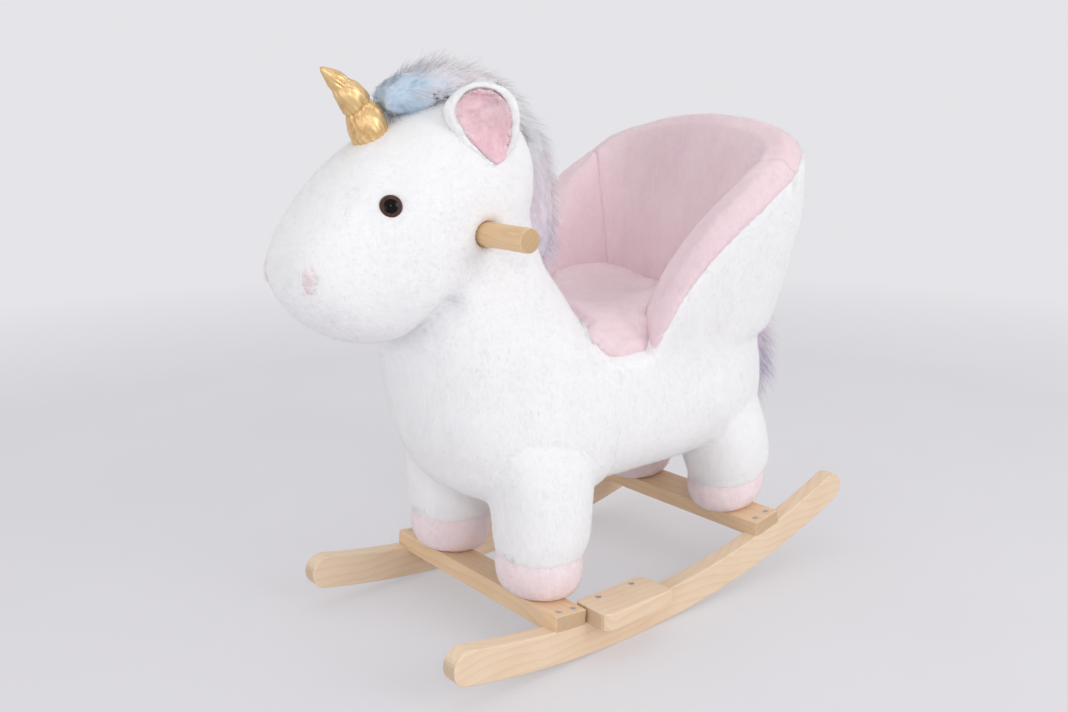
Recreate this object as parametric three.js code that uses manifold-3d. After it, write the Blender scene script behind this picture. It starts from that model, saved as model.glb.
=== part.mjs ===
// A stuffed rocking unicorn: a plush body with a bucket seat, standing on a wooden rocker frame.
// Millimetres. +Z is up from the floor, the front faces -Y and +X is the animal's left side.
import * as THREE from "three";
import { mergeVertices } from "three/addons/utils/BufferGeometryUtils.js";
import Module from "manifold-3d";

const wasm = await Module();
wasm.setup();

const radians = Math.PI / 180;
const sides = [["left", 1], ["right", -1]];

// Clearances shared by all pieces
const gap = 0.3; // left between touching pieces
const overrun = 6; // how far a cutter reaches past what it cuts
const weld = 0.001; // points nearer than this are one point

// Rockers
const floor_line_y = -32; // the rockers' floor contact, from the middle of the toy's length
const frame_width = 300; // over the rockers' outer faces
const board_thickness = 20;
const rocker_depth = 38;
const rocker_radius = 1032; // curve of the edge that rolls on the floor
const rocker_front_reach = 243; // floor contact to front tip
const rocker_rear_reach = 382; // floor contact to rear tip
const rocker_flat_length = 62; // the floor edge is a run of flats this long
const rocker_flat_shift = 13; // the flat it stands on reaches further back than ahead
const rocker_top_step = 31; // the top edge is a run of finer flats
const nose_steps = 8;

// Cross slats, let into the rockers' top edges
const slat_width = 41.6;
const slat_thickness = 21;
const slat_end_thickness = 18; // where the slat is rebated over the rocker
const slat_let_in = 1.4;
const slat_edge_round = 2.5;
const front_slat_ahead = 91.4; // ahead of the floor contact
const rear_slat_behind = 229;
const front_slat_tilt = -5.8 * radians;
const rear_slat_tilt = 10.3 * radians;

// Footrests
const footrest_width = 49;
const footrest_length = 99;
const footrest_slat_clear = 2.4; // between the front slat and the footrest
const footrest_round = 13; // the outer front corner and the inner rear corner
const footrest_corner = 3; // the other two corners
const footrest_screw_pitch = 50;
const footrest_screw_inset = 9; // from the rocker's inner face outwards

// Wood screws and leg bolts
const screw_head_radius = 3.6;
const screw_radius = 1.9;
const screw_head_depth = 2.6;
const screw_length = 34;
const screw_sunk = 0.4; // head below the surface
const slat_screw_pitch = 20;
const slat_screw_inset = 10; // from the rocker's outer face
const bolt_head_radius = 6;
const bolt_head_depth = 3.5;
const bolt_radius = 3;
const bolt_grip = 34; // how far the bolt runs up into the post
const turned_sides = 10;

// Inner wooden frame
const post_radius = 13;
const seat_board_thickness = 9;
const seat_board_cover = 8; // stuffing between the board and the seat
const seat_board_width = 196;
const seat_board_front = 112; // ahead of the floor contact
const seat_board_back = 246; // behind the floor contact
const neck_post_width = 64;
const neck_post_depth = 70;
const neck_post_foot_height = 172;
const neck_post_behind = 64; // its rear face ahead of the floor contact, below the seat board
const neck_post_lean = 54; // how far its top leans forward
const neck_post_top = 492;
const back_board_thickness = 9;
const back_board_width = 168;
const back_board_foot = 234; // behind the floor contact
const back_board_height = 168;
const back_board_lean = 28;
const seat_hollow_height = 64; // air under the seat board, behind the side seam
const seat_hollow_width = 170;
const seat_hollow_front = 20; // behind the side seam
const back_hollow_depth = 34; // air behind the back board
const back_hollow_share = 0.94; // of the back board's height

// Handle
const handle_radius = 12;
const handle_half_length = 156;
const handle_ahead = 151; // ahead of the floor contact
const handle_height = 455;
const handle_chamfer = 1.5;
const handle_screw_length = 48;

// Plush body, heights from the floor and reaches from the floor contact
const belly_height = 152;
const seat_height = 308; // top of the rear body, where the seat walls start
const neck_height = 470; // the neck ends inside the head
const front_body_width = 252;
const front_body_reach = 205;
const front_body_power = 2.3;
const rear_body_width = 262;
const rear_body_reach = 305;
const rear_body_power = 2.8;
const body_sides = 28;
// Rows hold the rise from belly to neck top, the half width, and the front and back edges.
const front_body_shares = [
  [0.000, 0.476, 0.488, -0.585],
  [0.025, 0.683, 0.634, -0.585],
  [0.063, 0.841, 0.722, -0.585],
  [0.119, 0.937, 0.795, -0.585],
  [0.214, 1.000, 0.863, -0.585],
  [0.308, 1.000, 0.912, -0.585],
  [0.387, 0.968, 0.946, -0.585],
  [0.465, 0.929, 0.966, -0.463],
  [0.528, 0.889, 0.980, -0.220],
  [0.591, 0.849, 0.990, -0.059],
  [0.654, 0.810, 1.005, 0.010],
  [0.717, 0.770, 1.024, 0.068],
  [0.827, 0.714, 1.034, 0.195],
  [0.937, 0.698, 1.000, 0.259],
  [1.000, 0.635, 0.927, 0.283],
];
// Rows hold the rise from belly to seat, the half width, and the front and back edges.
const rear_body_shares = [
  [0.038, 0.382, -0.295, 0.672],
  [0.077, 0.611, -0.295, 0.787],
  [0.135, 0.763, -0.295, 0.879],
  [0.224, 0.878, -0.295, 0.948],
  [0.359, 0.962, -0.295, 0.987],
  [0.532, 1.000, -0.295, 1.000],
  [0.724, 1.000, -0.295, 0.993],
  [0.885, 0.992, -0.295, 0.970],
  [1.000, 1.000, -0.295, 0.961],
];

// Head, whose profile is given from the muzzle's tip back
const head_length = 275;
const head_width = 194;
const muzzle_ahead = 328; // ahead of the floor contact
const muzzle_height = 424;
const head_power = 2.25;
const head_sides = 24;
// Rows hold the place along the head, its top and bottom over the muzzle tip's height, and its half width.
const head_shares = [
  [0.013, 0.073, -0.069, 0.320],
  [0.044, 0.131, -0.127, 0.485],
  [0.091, 0.196, -0.182, 0.598],
  [0.153, 0.269, -0.229, 0.680],
  [0.225, 0.345, -0.265, 0.753],
  [0.309, 0.407, -0.284, 0.825],
  [0.393, 0.455, -0.287, 0.897],
  [0.502, 0.527, -0.273, 0.969],
  [0.611, 0.575, -0.240, 1.000],
  [0.720, 0.604, -0.160, 1.000],
  [0.818, 0.585, -0.058, 0.928],
  [0.895, 0.531, 0.040, 0.794],
  [0.953, 0.440, 0.131, 0.567],
  [0.982, 0.356, 0.196, 0.330],
];

// Horn, a gathered cone of three swellings
const horn_length = 81;
const horn_radius = 20;
const horn_foot_ahead = 222;
const horn_foot_height = 547;
const horn_tip_ahead = 272;
const horn_bow = 8; // how far its middle bends up and back
const horn_root = 16; // how far it runs on into the head before it is trimmed
const horn_sides = 14;
const horn_shares = [
  [0, 0.94], [0.1, 1], [0.24, 0.92], [0.34, 0.68], [0.38, 0.67], [0.47, 0.76], [0.6, 0.68],
  [0.69, 0.47], [0.73, 0.46], [0.8, 0.47], [0.9, 0.34], [1, 0.13],
];

// Ears, cupped towards the front and side, each a leaf whose foot slopes down behind
const ear_width = 70;
const ear_height = 68; // from the foot's rear corner to the top
const ear_thickness = 9;
const ear_cup = 14; // depth of the hollow
const ear_out = 90; // rear corner of the foot from the toy's middle plane
const ear_ahead = 132;
const ear_foot_height = 526;
const ear_turn = 52 * radians; // how far it faces out from straight ahead
const ear_splay = 8 * radians;
const ear_lining_thickness = 2.5;
const ear_full_cup_share = 0.72; // of its width, below which it is cupped less
const ear_lining_share = 0.8;
const ear_lining_lift = 7.5;
const ear_steps = 8;
// Rows hold the rise, and the leaf's two edges to the back and to the front of the foot's rear corner.
const ear_shares = [
  [-0.06, 0.02, -0.1], [0.06, 0.09, -0.2], [0.2, 0.15, -0.4], [0.36, 0.19, -0.66], [0.52, 0.2, -0.78],
  [0.68, 0.165, -0.78], [0.82, 0.09, -0.7], [0.93, -0.03, -0.58], [1, -0.18, -0.42],
];

// Eyes and nostrils
const eye_radius = 11;
const eye_dome = 7.5;
const eye_rim = 2;
const eye_sides = 16;
const eye_out = 69;
const eye_ahead = 245;
const eye_height = 486;
const eye_turn = 60 * radians; // from straight ahead towards the side
const eye_rise = 10 * radians;
const eye_stem_radius = 2.5;
const eye_stem_length = 17;
const washer_radius = 9;
const washer_thickness = 2;
const washer_seat = 9; // how deep the washer sits behind the eye
const nostril_width = 15;
const nostril_height = 27;
const nostril_thickness = 5;
const nostril_out = 41;
const nostril_ahead = 317;
const nostril_rise = -2; // over the muzzle tip's height
const nostril_turn = 28 * radians;

// Mane and tail, the outer shape of the long hair
const mane_half_width = 40;
const mane_half_thickness = 33;
const mane_sides = 12;
// Rows hold a point of the mane's middle line, ahead of the floor contact as a share of the head's length
// and over the floor as a share of the neck's height, then its half width and half thickness.
const mane_shares = [
  [0.778, 1.211, 0.45, 0.24],
  [0.742, 1.234, 0.75, 0.52],
  [0.655, 1.251, 0.95, 0.70],
  [0.527, 1.262, 1.00, 0.79],
  [0.382, 1.247, 1.00, 0.85],
  [0.262, 1.200, 1.00, 0.94],
  [0.167, 1.128, 1.00, 1.00],
  [0.124, 1.057, 0.95, 1.00],
  [0.105, 0.983, 0.90, 0.97],
  [0.087, 0.915, 0.75, 0.85],
  [0.065, 0.860, 0.40, 0.48],
];
const tail_root_share = 0.94; // of the rear body's reach
const tail_half_width = 29;
const tail_drop = 130;
const tail_reach = 112;
const tail_root_height = 305;
const tail_sides = 12;
// Rows hold the way out and down from the tail's root, and the half width.
const tail_shares = [
  [-0.12, -0.02, 0.42], [0.1, 0, 0.5], [0.36, 0.04, 0.85], [0.58, 0.18, 1], [0.68, 0.4, 1], [0.7, 0.62, 0.9],
  [0.69, 0.84, 0.62], [0.67, 1, 0.22],
];

// Legs and feet
const front_leg_out = 83; // leg's axis from the toy's middle plane
const rear_leg_out = 78;
const leg_radius = 53;
const leg_behind_foot = 3; // the leg overhangs the foot a little at the back
const front_leg_top = 238;
const rear_leg_top = 226;
const front_leg_behind_slat = 11; // the leg stands a little behind the middle of the slat
const rear_leg_behind_slat = 5;
const front_leg_lean = -3; // how far its top leans forward
const rear_leg_lean = 24;
const front_leg_flare = 0.75; // how far its top spreads to front and back, against the rows below
const rear_leg_flare = 0.15;
const foot_radius = 48;
const front_foot_height = 51;
const rear_foot_height = 44;
const front_seam_tilt = -0.5 * radians; // how the seam over the foot slopes up to the rear
const rear_seam_tilt = 10.3 * radians;
const limb_sides = 22;
// Rows hold the rise from the foot's seam, then the reach to the side and the reach to front and back.
const leg_shares = [
  [0, 0.93, 0.93], [0.05, 0.98, 0.98], [0.13, 1, 1], [0.3, 1.02, 1.03], [0.5, 1.02, 1.09], [0.7, 0.96, 1.19],
  [0.88, 0.82, 1.25], [1, 0.66, 1.2],
];
const foot_shares = [[0, 0.7], [0.06, 0.8], [0.17, 0.885], [0.38, 0.965], [0.68, 1], [1, 0.955]];

// Seat walls: outer face of white plush and inner lining
const wall_power = 3.2;
const wall_turn_behind = 165; // where the side walls start to turn into the back
const wall_front_behind = 46; // front ends of the side walls, at their outer faces
const wall_front_slant = 26; // how much further back the inner faces start
const wall_height = 254; // of the back's top over the seat height
const wall_half_width = 173;
const wall_depth = 313; // of the back's outer face behind the floor contact
const wall_roll = 26; // height of the rounded top
const lining_wrap = 6 * radians; // how far the lining's roll reaches over the side walls' tops
const lining_back_wrap = 80 * radians;
const lining_split = 0.45; // share of the wall's foot that belongs to the lining
// Rows hold the rise, and the outer half width and depth, then the inner half width and depth.
const wall_shares = [
  [0, 0.75, 0.936, 0.485, 0.607], [0.09, 0.79, 0.952, 0.485, 0.62], [0.18, 0.83, 0.968, 0.51, 0.639],
  [0.27, 0.868, 0.984, 0.54, 0.658], [0.36, 0.908, 0.994, 0.58, 0.681], [0.46, 0.945, 1, 0.625, 0.706],
  [0.62, 0.988, 0.994, 0.7, 0.741], [0.78, 1, 0.968, 0.77, 0.77], [0.91, 0.97, 0.94, 0.81, 0.799],
  [1, 0.925, 0.91, 0.825, 0.824],
];
// Rows hold the way from a side wall's front end to its turn, and the height of its top.
const side_top_shares = [
  [0, 0.12], [0.035, 0.205], [0.085, 0.275], [0.15, 0.343], [0.24, 0.41], [0.36, 0.485], [0.52, 0.56],
  [0.72, 0.63], [1, 0.72],
];
// Rows hold the way round from a side wall's turn to the middle of the back, and the height of its top.
const back_top_shares = [[0.17, 0.825], [0.33, 0.885], [0.5, 0.92], [0.67, 0.948], [0.83, 0.978], [1, 1]];

// Seat cushion
const cushion_half_width = 110;
const cushion_front_ahead = 24;
const cushion_back_behind = 200;
const cushion_rise = 68; // seat height to the cushion's highest edge
// Rows hold the way from front to back, the half width, and the height in the middle and at the sides.
const cushion_shares = [
  [0, 0.62, 0.6, 0.5], [0.05, 0.84, 0.62, 0.38], [0.12, 0.95, 0.6, 0.26], [0.22, 1, 0.56, 0.2],
  [0.32, 1, 0.54, 0.24], [0.42, 0.9, 0.54, 0.62], [0.52, 0.84, 0.54, 0.94], [0.65, 0.82, 0.55, 1.05],
  [0.8, 0.82, 0.58, 1.06], [0.92, 0.8, 0.64, 1.02], [1, 0.72, 0.7, 0.94],
];
const cushion_bow_power = 2.4; // how the top bends from the middle to the sides
const cushion_edge_round = 4;
const cushion_steps = 10;

// Places that follow from the sizes above
const outer_face = frame_width / 2;
const inner_face = outer_face - board_thickness;
const rocker_length = rocker_front_reach + rocker_rear_reach;
const rocker_mid_radius = rocker_radius - rocker_depth / 2;
const rocker_top_radius = rocker_radius - rocker_depth;
const seam_y = floor_line_y;
const axis_x = new THREE.Vector3(1, 0, 0);
const axis_y = new THREE.Vector3(0, 1, 0);
const axis_z = new THREE.Vector3(0, 0, 1);

// Turns a geometry into a solid that can be cut.
function solidOf(geometry) {
  const bare = new THREE.BufferGeometry().setAttribute("position", geometry.getAttribute("position"));
  if (geometry.index) bare.setIndex(geometry.index);
  const merged = mergeVertices(bare.index ? bare.toNonIndexed() : bare, weld);
  return new wasm.Manifold(
    new wasm.Mesh({
      numProp: 3,
      vertProperties: merged.attributes.position.array,
      triVerts: new Uint32Array(merged.index.array),
    }),
  );
}

// Turns a solid back into a flat-faced geometry.
function geometryOf(solid) {
  const mesh = solid.getMesh();
  const geometry = new THREE.BufferGeometry()
    .setAttribute("position", new THREE.BufferAttribute(mesh.vertProperties, mesh.numProp))
    .setIndex(new THREE.BufferAttribute(mesh.triVerts, 1))
    .toNonIndexed();
  geometry.computeVertexNormals();
  return geometry;
}

// Takes several cutters away from a solid.
function cut(solid, cutters) {
  return cutters.reduce((rest, cutter) => rest.subtract(cutter), solid);
}

// The largest of the bodies that a cut leaves.
function largest(solid) {
  return solid.decompose().reduce((best, body) => (body.volume() > best.volume() ? body : best));
}

// Closes a row of rings, all of one point count, into a solid with a fan at each end.
function loft(rings) {
  const count = rings[0].length;
  const points = rings.flat();
  const first = points.length;
  points.push(middleOf(rings[0]), middleOf(rings[rings.length - 1]));
  const faces = [];
  for (let r = 0; r + 1 < rings.length; r++) {
    for (let i = 0; i < count; i++) {
      const a = r * count + i;
      const b = r * count + ((i + 1) % count);
      faces.push(a, b, b + count, a, b + count, a + count);
    }
  }
  const last = (rings.length - 1) * count;
  for (let i = 0; i < count; i++) {
    const next = (i + 1) % count;
    faces.push(first, next, i, first + 1, last + i, last + next);
  }
  if (volumeOf(points, faces) < 0) faces.reverse();
  const geometry = new THREE.BufferGeometry().setFromPoints(points).setIndex(faces);
  return solidOf(geometry);
}

function middleOf(ring) {
  return ring.reduce((sum, p) => sum.add(p), new THREE.Vector3()).divideScalar(ring.length);
}

function volumeOf(points, faces) {
  let six = 0;
  for (let i = 0; i < faces.length; i += 3) {
    const [a, b, c] = faces.slice(i, i + 3).map((k) => points[k]);
    six += a.dot(new THREE.Vector3().crossVectors(b, c));
  }
  return six / 6;
}

// One ring of a stuffed form: a rounded section that may reach further up than down.
function roundRing(centre, across, up, half, reachUp, reachDown, power, count) {
  const points = [];
  for (let i = 0; i < count; i++) {
    const angle = (2 * Math.PI * i) / count;
    const c = Math.cos(angle);
    const s = Math.sin(angle);
    const x = half * Math.sign(c) * Math.abs(c) ** (2 / power);
    const y = (s > 0 ? reachUp : reachDown) * Math.sign(s) * Math.abs(s) ** (2 / power);
    points.push(centre.clone().addScaledVector(across, x).addScaledVector(up, y));
  }
  return points;
}

// A value read off a table of rows by its first column.
function readTable(rows, at, column) {
  let k = rows.findIndex((row) => row[0] >= at);
  if (k < 0) k = rows.length - 1;
  if (k === 0) return rows[0][column];
  const [low, high] = [rows[k - 1], rows[k]];
  const share = Math.min(1, (at - low[0]) / (high[0] - low[0]));
  return low[column] + (high[column] - low[column]) * share;
}

// An outline drawn in the plane of Y and Z, stretched evenly to both sides of a middle X.
function plate(outline, middle_x, width) {
  const shape = new THREE.Shape(outline.map(([y, z]) => new THREE.Vector2(y, z)));
  const geometry = new THREE.ExtrudeGeometry(shape, { depth: width, bevelEnabled: false, curveSegments: 1 });
  geometry.applyMatrix4(new THREE.Matrix4().makeBasis(axis_y, axis_z, axis_x));
  geometry.translate(middle_x - width / 2, 0, 0);
  return solidOf(geometry);
}

// A box from its middle and its sizes.
function box(middle, size) {
  const geometry = new THREE.BoxGeometry(size[0], size[1], size[2]);
  geometry.translate(middle[0], middle[1], middle[2]);
  return solidOf(geometry);
}

// A turned piece, given as radius and height pairs along an axis that starts at a point.
function turned(profile, start, direction, steps) {
  const outline = profile.map(([radius, height]) => new THREE.Vector2(radius, height));
  const geometry = new THREE.LatheGeometry(outline, steps);
  geometry.applyQuaternion(new THREE.Quaternion().setFromUnitVectors(axis_y, direction));
  geometry.translate(start.x, start.y, start.z);
  const solid = solidOf(geometry);
  return solid;
}

// Corners rounded by a radius each, in the plane of the outline.
function roundCorners(corners, steps) {
  return corners.flatMap(([x, y, radius], i) => {
    const here = new THREE.Vector2(x, y);
    const towards = (k) => {
      const [cx, cy] = corners[(i + k + corners.length) % corners.length];
      return new THREE.Vector2(cx, cy).sub(here).normalize();
    };
    const [before, after] = [towards(-1), towards(1)];
    const half = before.angleTo(after) / 2;
    const back = radius / Math.tan(half);
    const hub = before.clone().add(after).normalize().multiplyScalar(radius / Math.sin(half)).add(here);
    const from = before.clone().multiplyScalar(back).add(here).sub(hub);
    const to = after.clone().multiplyScalar(back).add(here).sub(hub);
    const sweep = Math.atan2(from.cross(to), from.dot(to));
    return Array.from({ length: steps + 1 }, (_, k) => {
      const spoke = from.clone().rotateAround(new THREE.Vector2(), (sweep * k) / steps).add(hub);
      return [spoke.x, spoke.y];
    });
  });
}

// Rockers

// A point on a circle about the rockers' rolling centre.
function onRocker(radius, angle) {
  return [floor_line_y + radius * Math.sin(angle), rocker_radius - radius * Math.cos(angle)];
}

function rockerTopAt(reach) {
  return rocker_radius - Math.sqrt(rocker_top_radius ** 2 - reach ** 2);
}

function rockerOutline() {
  const nose = rocker_depth / 2;
  const front = -Math.asin((rocker_front_reach - nose) / rocker_mid_radius);
  const rear = Math.asin((rocker_rear_reach - nose) / rocker_mid_radius);
  const anglesOf = (length, shift) => {
    const step = length / rocker_radius;
    const inner = [];
    for (let k = -Math.ceil(rocker_length / length); k * length < rocker_length; k++) {
      const angle = (k + 0.5) * step + shift;
      if (angle > front + step / 2 && angle < rear - step / 2) inner.push(angle);
    }
    return [front, ...inner, rear];
  };
  // The flat on the floor is level: the two corners at its ends have the same height.
  const cornerRadius = rocker_radius / Math.cos(rocker_flat_length / rocker_radius / 2);
  const slide = ([y, z], angle) => (Math.abs(angle) < rocker_flat_length / rocker_radius ? [y + rocker_flat_shift, z] : [y, z]);
  const floor = anglesOf(rocker_flat_length, 0).map((a) => slide(onRocker(cornerRadius, a), a));
  const top = anglesOf(rocker_top_step, 0).map((a) => onRocker(rocker_top_radius, a)).reverse();
  const noseEnd = (angle, turn) => {
    const [y, z] = onRocker(rocker_mid_radius, angle);
    return Array.from({ length: nose_steps - 1 }, (_, k) => {
      const swing = angle - Math.PI / 2 + turn * ((Math.PI * (k + 1)) / nose_steps);
      return [y + nose * Math.cos(swing), z + nose * Math.sin(swing)];
    });
  };
  return [...floor, ...noseEnd(rear, 1), ...top, ...noseEnd(front, -1).reverse()];
}

// Slats: place and tilt of the top face's middle

function slatPlace(reach, tilt) {
  const height = rockerTopAt(reach) - slat_let_in + slat_end_thickness;
  return { y: floor_line_y + reach, height, tilt };
}

const front_slat = slatPlace(-front_slat_ahead, front_slat_tilt);
const rear_slat = slatPlace(rear_slat_behind, rear_slat_tilt);

// Height of a slat's top plane at a given Y.
function slatTopAt(slat, y) {
  return slat.height + (y - slat.y) * Math.tan(slat.tilt);
}

function slatUp(slat) {
  return new THREE.Vector3(0, -Math.sin(slat.tilt), Math.cos(slat.tilt));
}

function slatSolid(slat, grow) {
  const half = slat_width / 2 + grow;
  const corners = [
    [-half, -slat_thickness - grow, slat_edge_round],
    [half, -slat_thickness - grow, slat_edge_round],
    [half, grow, slat_edge_round],
    [-half, grow, slat_edge_round],
  ];
  const outline = roundCorners(corners, 2).map(([y, z]) => [
    slat.y + y * Math.cos(slat.tilt) - z * Math.sin(slat.tilt),
    slat.height + y * Math.sin(slat.tilt) + z * Math.cos(slat.tilt),
  ]);
  const whole = plate(outline, 0, frame_width + 2 * grow);
  const rebate = (side) => {
    const under = -slat_end_thickness - grow;
    const low = -slat_thickness - overrun;
    const reach = half + overrun;
    const block = [[-reach, low], [reach, low], [reach, under], [-reach, under]].map(([y, z]) => [
      slat.y + y * Math.cos(slat.tilt) - z * Math.sin(slat.tilt),
      slat.height + y * Math.sin(slat.tilt) + z * Math.cos(slat.tilt),
    ]);
    const width = board_thickness + gap + overrun - grow;
    return plate(block, side * (inner_face - gap + grow + width / 2), width);
  };
  return cut(whole, sides.map(([, side]) => rebate(side)));
}

// Footrests, level on the rockers just behind the front slat

const footrest_top = rocker_depth + gap + board_thickness;
const footrest_front =
  front_slat.y + (slat_width / 2) * Math.cos(front_slat_tilt) + footrest_slat_clear;
const footrest_middle = footrest_front + footrest_length / 2;

function footrestSolid(side, grow) {
  const inner = inner_face - grow;
  const outer = inner_face + footrest_width + grow;
  const front = footrest_front - grow;
  const rear = footrest_front + footrest_length + grow;
  const corners = [
    [inner, front, footrest_corner],
    [outer, front, footrest_round],
    [outer, rear, footrest_corner],
    [inner, rear, footrest_round],
  ];
  const outline = roundCorners(corners, 4).map(([x, y]) => new THREE.Vector2(side * x, y));
  const shape = new THREE.Shape(side > 0 ? outline : outline.reverse());
  const geometry = new THREE.ExtrudeGeometry(shape, { depth: board_thickness + 2 * grow, bevelEnabled: false });
  geometry.translate(0, 0, footrest_top - board_thickness - grow);
  return solidOf(geometry);
}

// Screws and bolts

function screwSolid(place, up, grow) {
  const top = grow > 0 ? overrun : 0;
  const profile = [
    [0, -screw_length - grow],
    [screw_radius + grow, -screw_length - grow],
    [screw_radius + grow, -screw_head_depth],
    [screw_head_radius + grow, grow > 0 ? -grow : 0],
    ...(grow > 0 ? [[screw_head_radius + grow, top]] : []),
    [0, top],
  ];
  return turned(profile, place.clone().addScaledVector(up, -screw_sunk), up, turned_sides);
}

function slatScrews() {
  const list = [];
  for (const [end, slat] of [["front", front_slat], ["rear", rear_slat]]) {
    const up = slatUp(slat);
    for (const [name, side] of sides) {
      for (const [order, step] of [["fore", -1], ["aft", 1]]) {
        const along = (step * slat_screw_pitch) / 2;
        const place = new THREE.Vector3(
          side * (outer_face - slat_screw_inset),
          slat.y + along * Math.cos(slat.tilt),
          slat.height + along * Math.sin(slat.tilt),
        );
        list.push({ name: `${end}_slat_screw_${name}_${order}`, place, up, slat, side });
      }
    }
  }
  return list;
}

function footrestScrews() {
  return sides.flatMap(([name, side]) =>
    [["fore", -1], ["aft", 1]].map(([order, step]) => ({
      name: `footrest_screw_${name}_${order}`,
      place: new THREE.Vector3(
        side * (inner_face + footrest_screw_inset),
        footrest_middle + (step * footrest_screw_pitch) / 2,
        footrest_top,
      ),
      up: axis_z,
      side,
    })),
  );
}

function boltSolid(slat, side, out, grow) {
  const up = slatUp(slat);
  const start = new THREE.Vector3(side * out, slat.y, slat.height).addScaledVector(up, -slat_thickness);
  const reach = slat_thickness + bolt_grip;
  const profile = [
    [0, -gap - bolt_head_depth - grow],
    [bolt_head_radius + grow, -gap - bolt_head_depth - grow],
    [bolt_head_radius + grow, -gap + grow],
    [bolt_radius + grow, -gap + grow],
    [bolt_radius + grow, reach + grow],
    [0, reach + grow],
  ];
  return turned(profile, start, up, turned_sides);
}

// Inner frame

const seat_board_top = seat_height - seat_board_cover;
const seat_board_under = seat_board_top - seat_board_thickness;

// A post stands on the slat over its bolt and carries the seat board.
function postSolid(slat, side, out, grow) {
  const centre = new THREE.Vector3(side * out, slat.y, 0);
  const ring = (height) => roundRing(
    centre, axis_x, axis_y, post_radius + grow, post_radius + grow, post_radius + grow, 2, turned_sides,
  ).map((p) => p.setZ(height(p.y)));
  const foot = (y) => slatTopAt(slat, y) + (grow > 0 ? -overrun : gap);
  return loft([ring(foot), ring(() => seat_board_under + (grow > 0 ? overrun : -gap))]);
}

function seatBoardSolid(grow) {
  const length = seat_board_front + seat_board_back;
  const middle = floor_line_y + (seat_board_back - seat_board_front) / 2;
  const height = seat_board_thickness + 2 * grow;
  return box(
    [0, middle, seat_board_under + seat_board_thickness / 2],
    [seat_board_width + 2 * grow, length + 2 * grow, height],
  );
}

// The neck post runs from the belly through the seat board and leans forward up to the handle.
function neckPostSolid(grow) {
  const rear = floor_line_y - neck_post_behind + grow;
  const deep = neck_post_depth + 2 * grow;
  const low = neck_post_foot_height - grow;
  const high = neck_post_top + grow;
  const outline = [
    [rear - deep, low],
    [rear, low],
    [rear, seat_board_top],
    [rear - neck_post_lean, high],
    [rear - neck_post_lean - deep, high],
    [rear - deep, seat_board_top],
  ];
  return plate(outline, 0, neck_post_width + 2 * grow);
}

// Air space under the seat board.
function seatHollowSolid() {
  const front = seam_y + seat_hollow_front;
  const rear = floor_line_y + seat_board_back;
  return box(
    [0, (front + rear) / 2, seat_board_under - seat_hollow_height / 2],
    [seat_hollow_width, rear - front, seat_hollow_height + 2 * gap],
  );
}

function backBoardSolid(grow) {
  const foot = floor_line_y + back_board_foot;
  const low = seat_board_top + gap - grow;
  const top = seat_board_top + gap + back_board_height + grow;
  const leanAt = (z) => ((z - seat_board_top) / back_board_height) * back_board_lean;
  const outline = [
    [foot + leanAt(low) - grow, low],
    [foot + leanAt(low) + back_board_thickness + grow, low],
    [foot + leanAt(top) + back_board_thickness + grow, top],
    [foot + leanAt(top) - grow, top],
  ];
  return plate(outline, 0, back_board_width + 2 * grow);
}

// Air space behind the back board, open below.
function backHollowSolid() {
  const foot = floor_line_y + back_board_foot + back_board_thickness / 2;
  const top = back_board_height * back_hollow_share;
  const lean = back_board_lean * back_hollow_share;
  const outline = [
    [foot, seat_height - overrun],
    [foot + back_hollow_depth, seat_height - overrun],
    [foot + back_hollow_depth + lean, seat_board_top + top],
    [foot + lean, seat_board_top + top],
  ];
  return plate(outline, 0, back_board_width - 2 * overrun);
}

// Handle

const handle_y = floor_line_y - handle_ahead;

function handleSolid(grow) {
  const end = handle_half_length + grow;
  const radius = handle_radius + grow;
  const profile = [
    [0, -end],
    [radius - handle_chamfer, -end],
    [radius, -end + handle_chamfer],
    [radius, end - handle_chamfer],
    [radius - handle_chamfer, end],
    [0, end],
  ];
  return turned(profile, new THREE.Vector3(0, handle_y, handle_height), axis_x, 2 * turned_sides);
}

// The screw that holds the handle, driven through the neck post from the front.
function handleScrewSolid(grow) {
  const rise = (handle_height - seat_board_top) / (neck_post_top - seat_board_top);
  const front = floor_line_y - neck_post_behind - neck_post_depth - rise * neck_post_lean;
  const start = new THREE.Vector3(0, front + screw_sunk + screw_head_depth, handle_height);
  const profile = [
    ...(grow > 0 ? [[0, -overrun], [screw_head_radius + grow, -overrun]] : [[0, 0]]),
    [screw_head_radius + grow, grow],
    [screw_radius + grow, screw_head_depth + grow],
    [screw_radius + grow, handle_screw_length + grow],
    [0, handle_screw_length + grow],
  ];
  return turned(profile, start, axis_y, turned_sides);
}

// Plush body

function trunkSolid(shares, rise, width, reach, power, grow) {
  return loft(shares.map(([up, half, front, back]) => {
    const front_y = seam_y - front * reach;
    const back_y = seam_y - back * reach;
    const centre = new THREE.Vector3(0, (front_y + back_y) / 2, belly_height + up * rise);
    const deep = Math.abs(back_y - front_y) / 2 + grow;
    return roundRing(centre, axis_x, axis_y, half * width / 2 + grow, deep, deep, power, body_sides);
  }));
}

function frontBodySolid(grow) {
  const rise = neck_height - belly_height;
  return trunkSolid(front_body_shares, rise, front_body_width, front_body_reach, front_body_power, grow);
}

function rearBodySolid() {
  const shares = rear_body_shares.map(([up, half, front, back]) => [up, half, -front, -back]);
  const rise = seat_height - belly_height;
  return trunkSolid(shares, rise, rear_body_width, rear_body_reach, rear_body_power, 0);
}

const everything = 4 * front_body_reach;

// The half space in front of the side seam, or behind it, short of it by half the gap.
function seamSide(direction) {
  const start = seam_y - (direction * gap) / 2;
  return box([0, start + (direction * everything) / 2, everything / 2], [everything, everything, 2 * everything]);
}

// Head

const muzzle_y = floor_line_y - muzzle_ahead;

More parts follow.
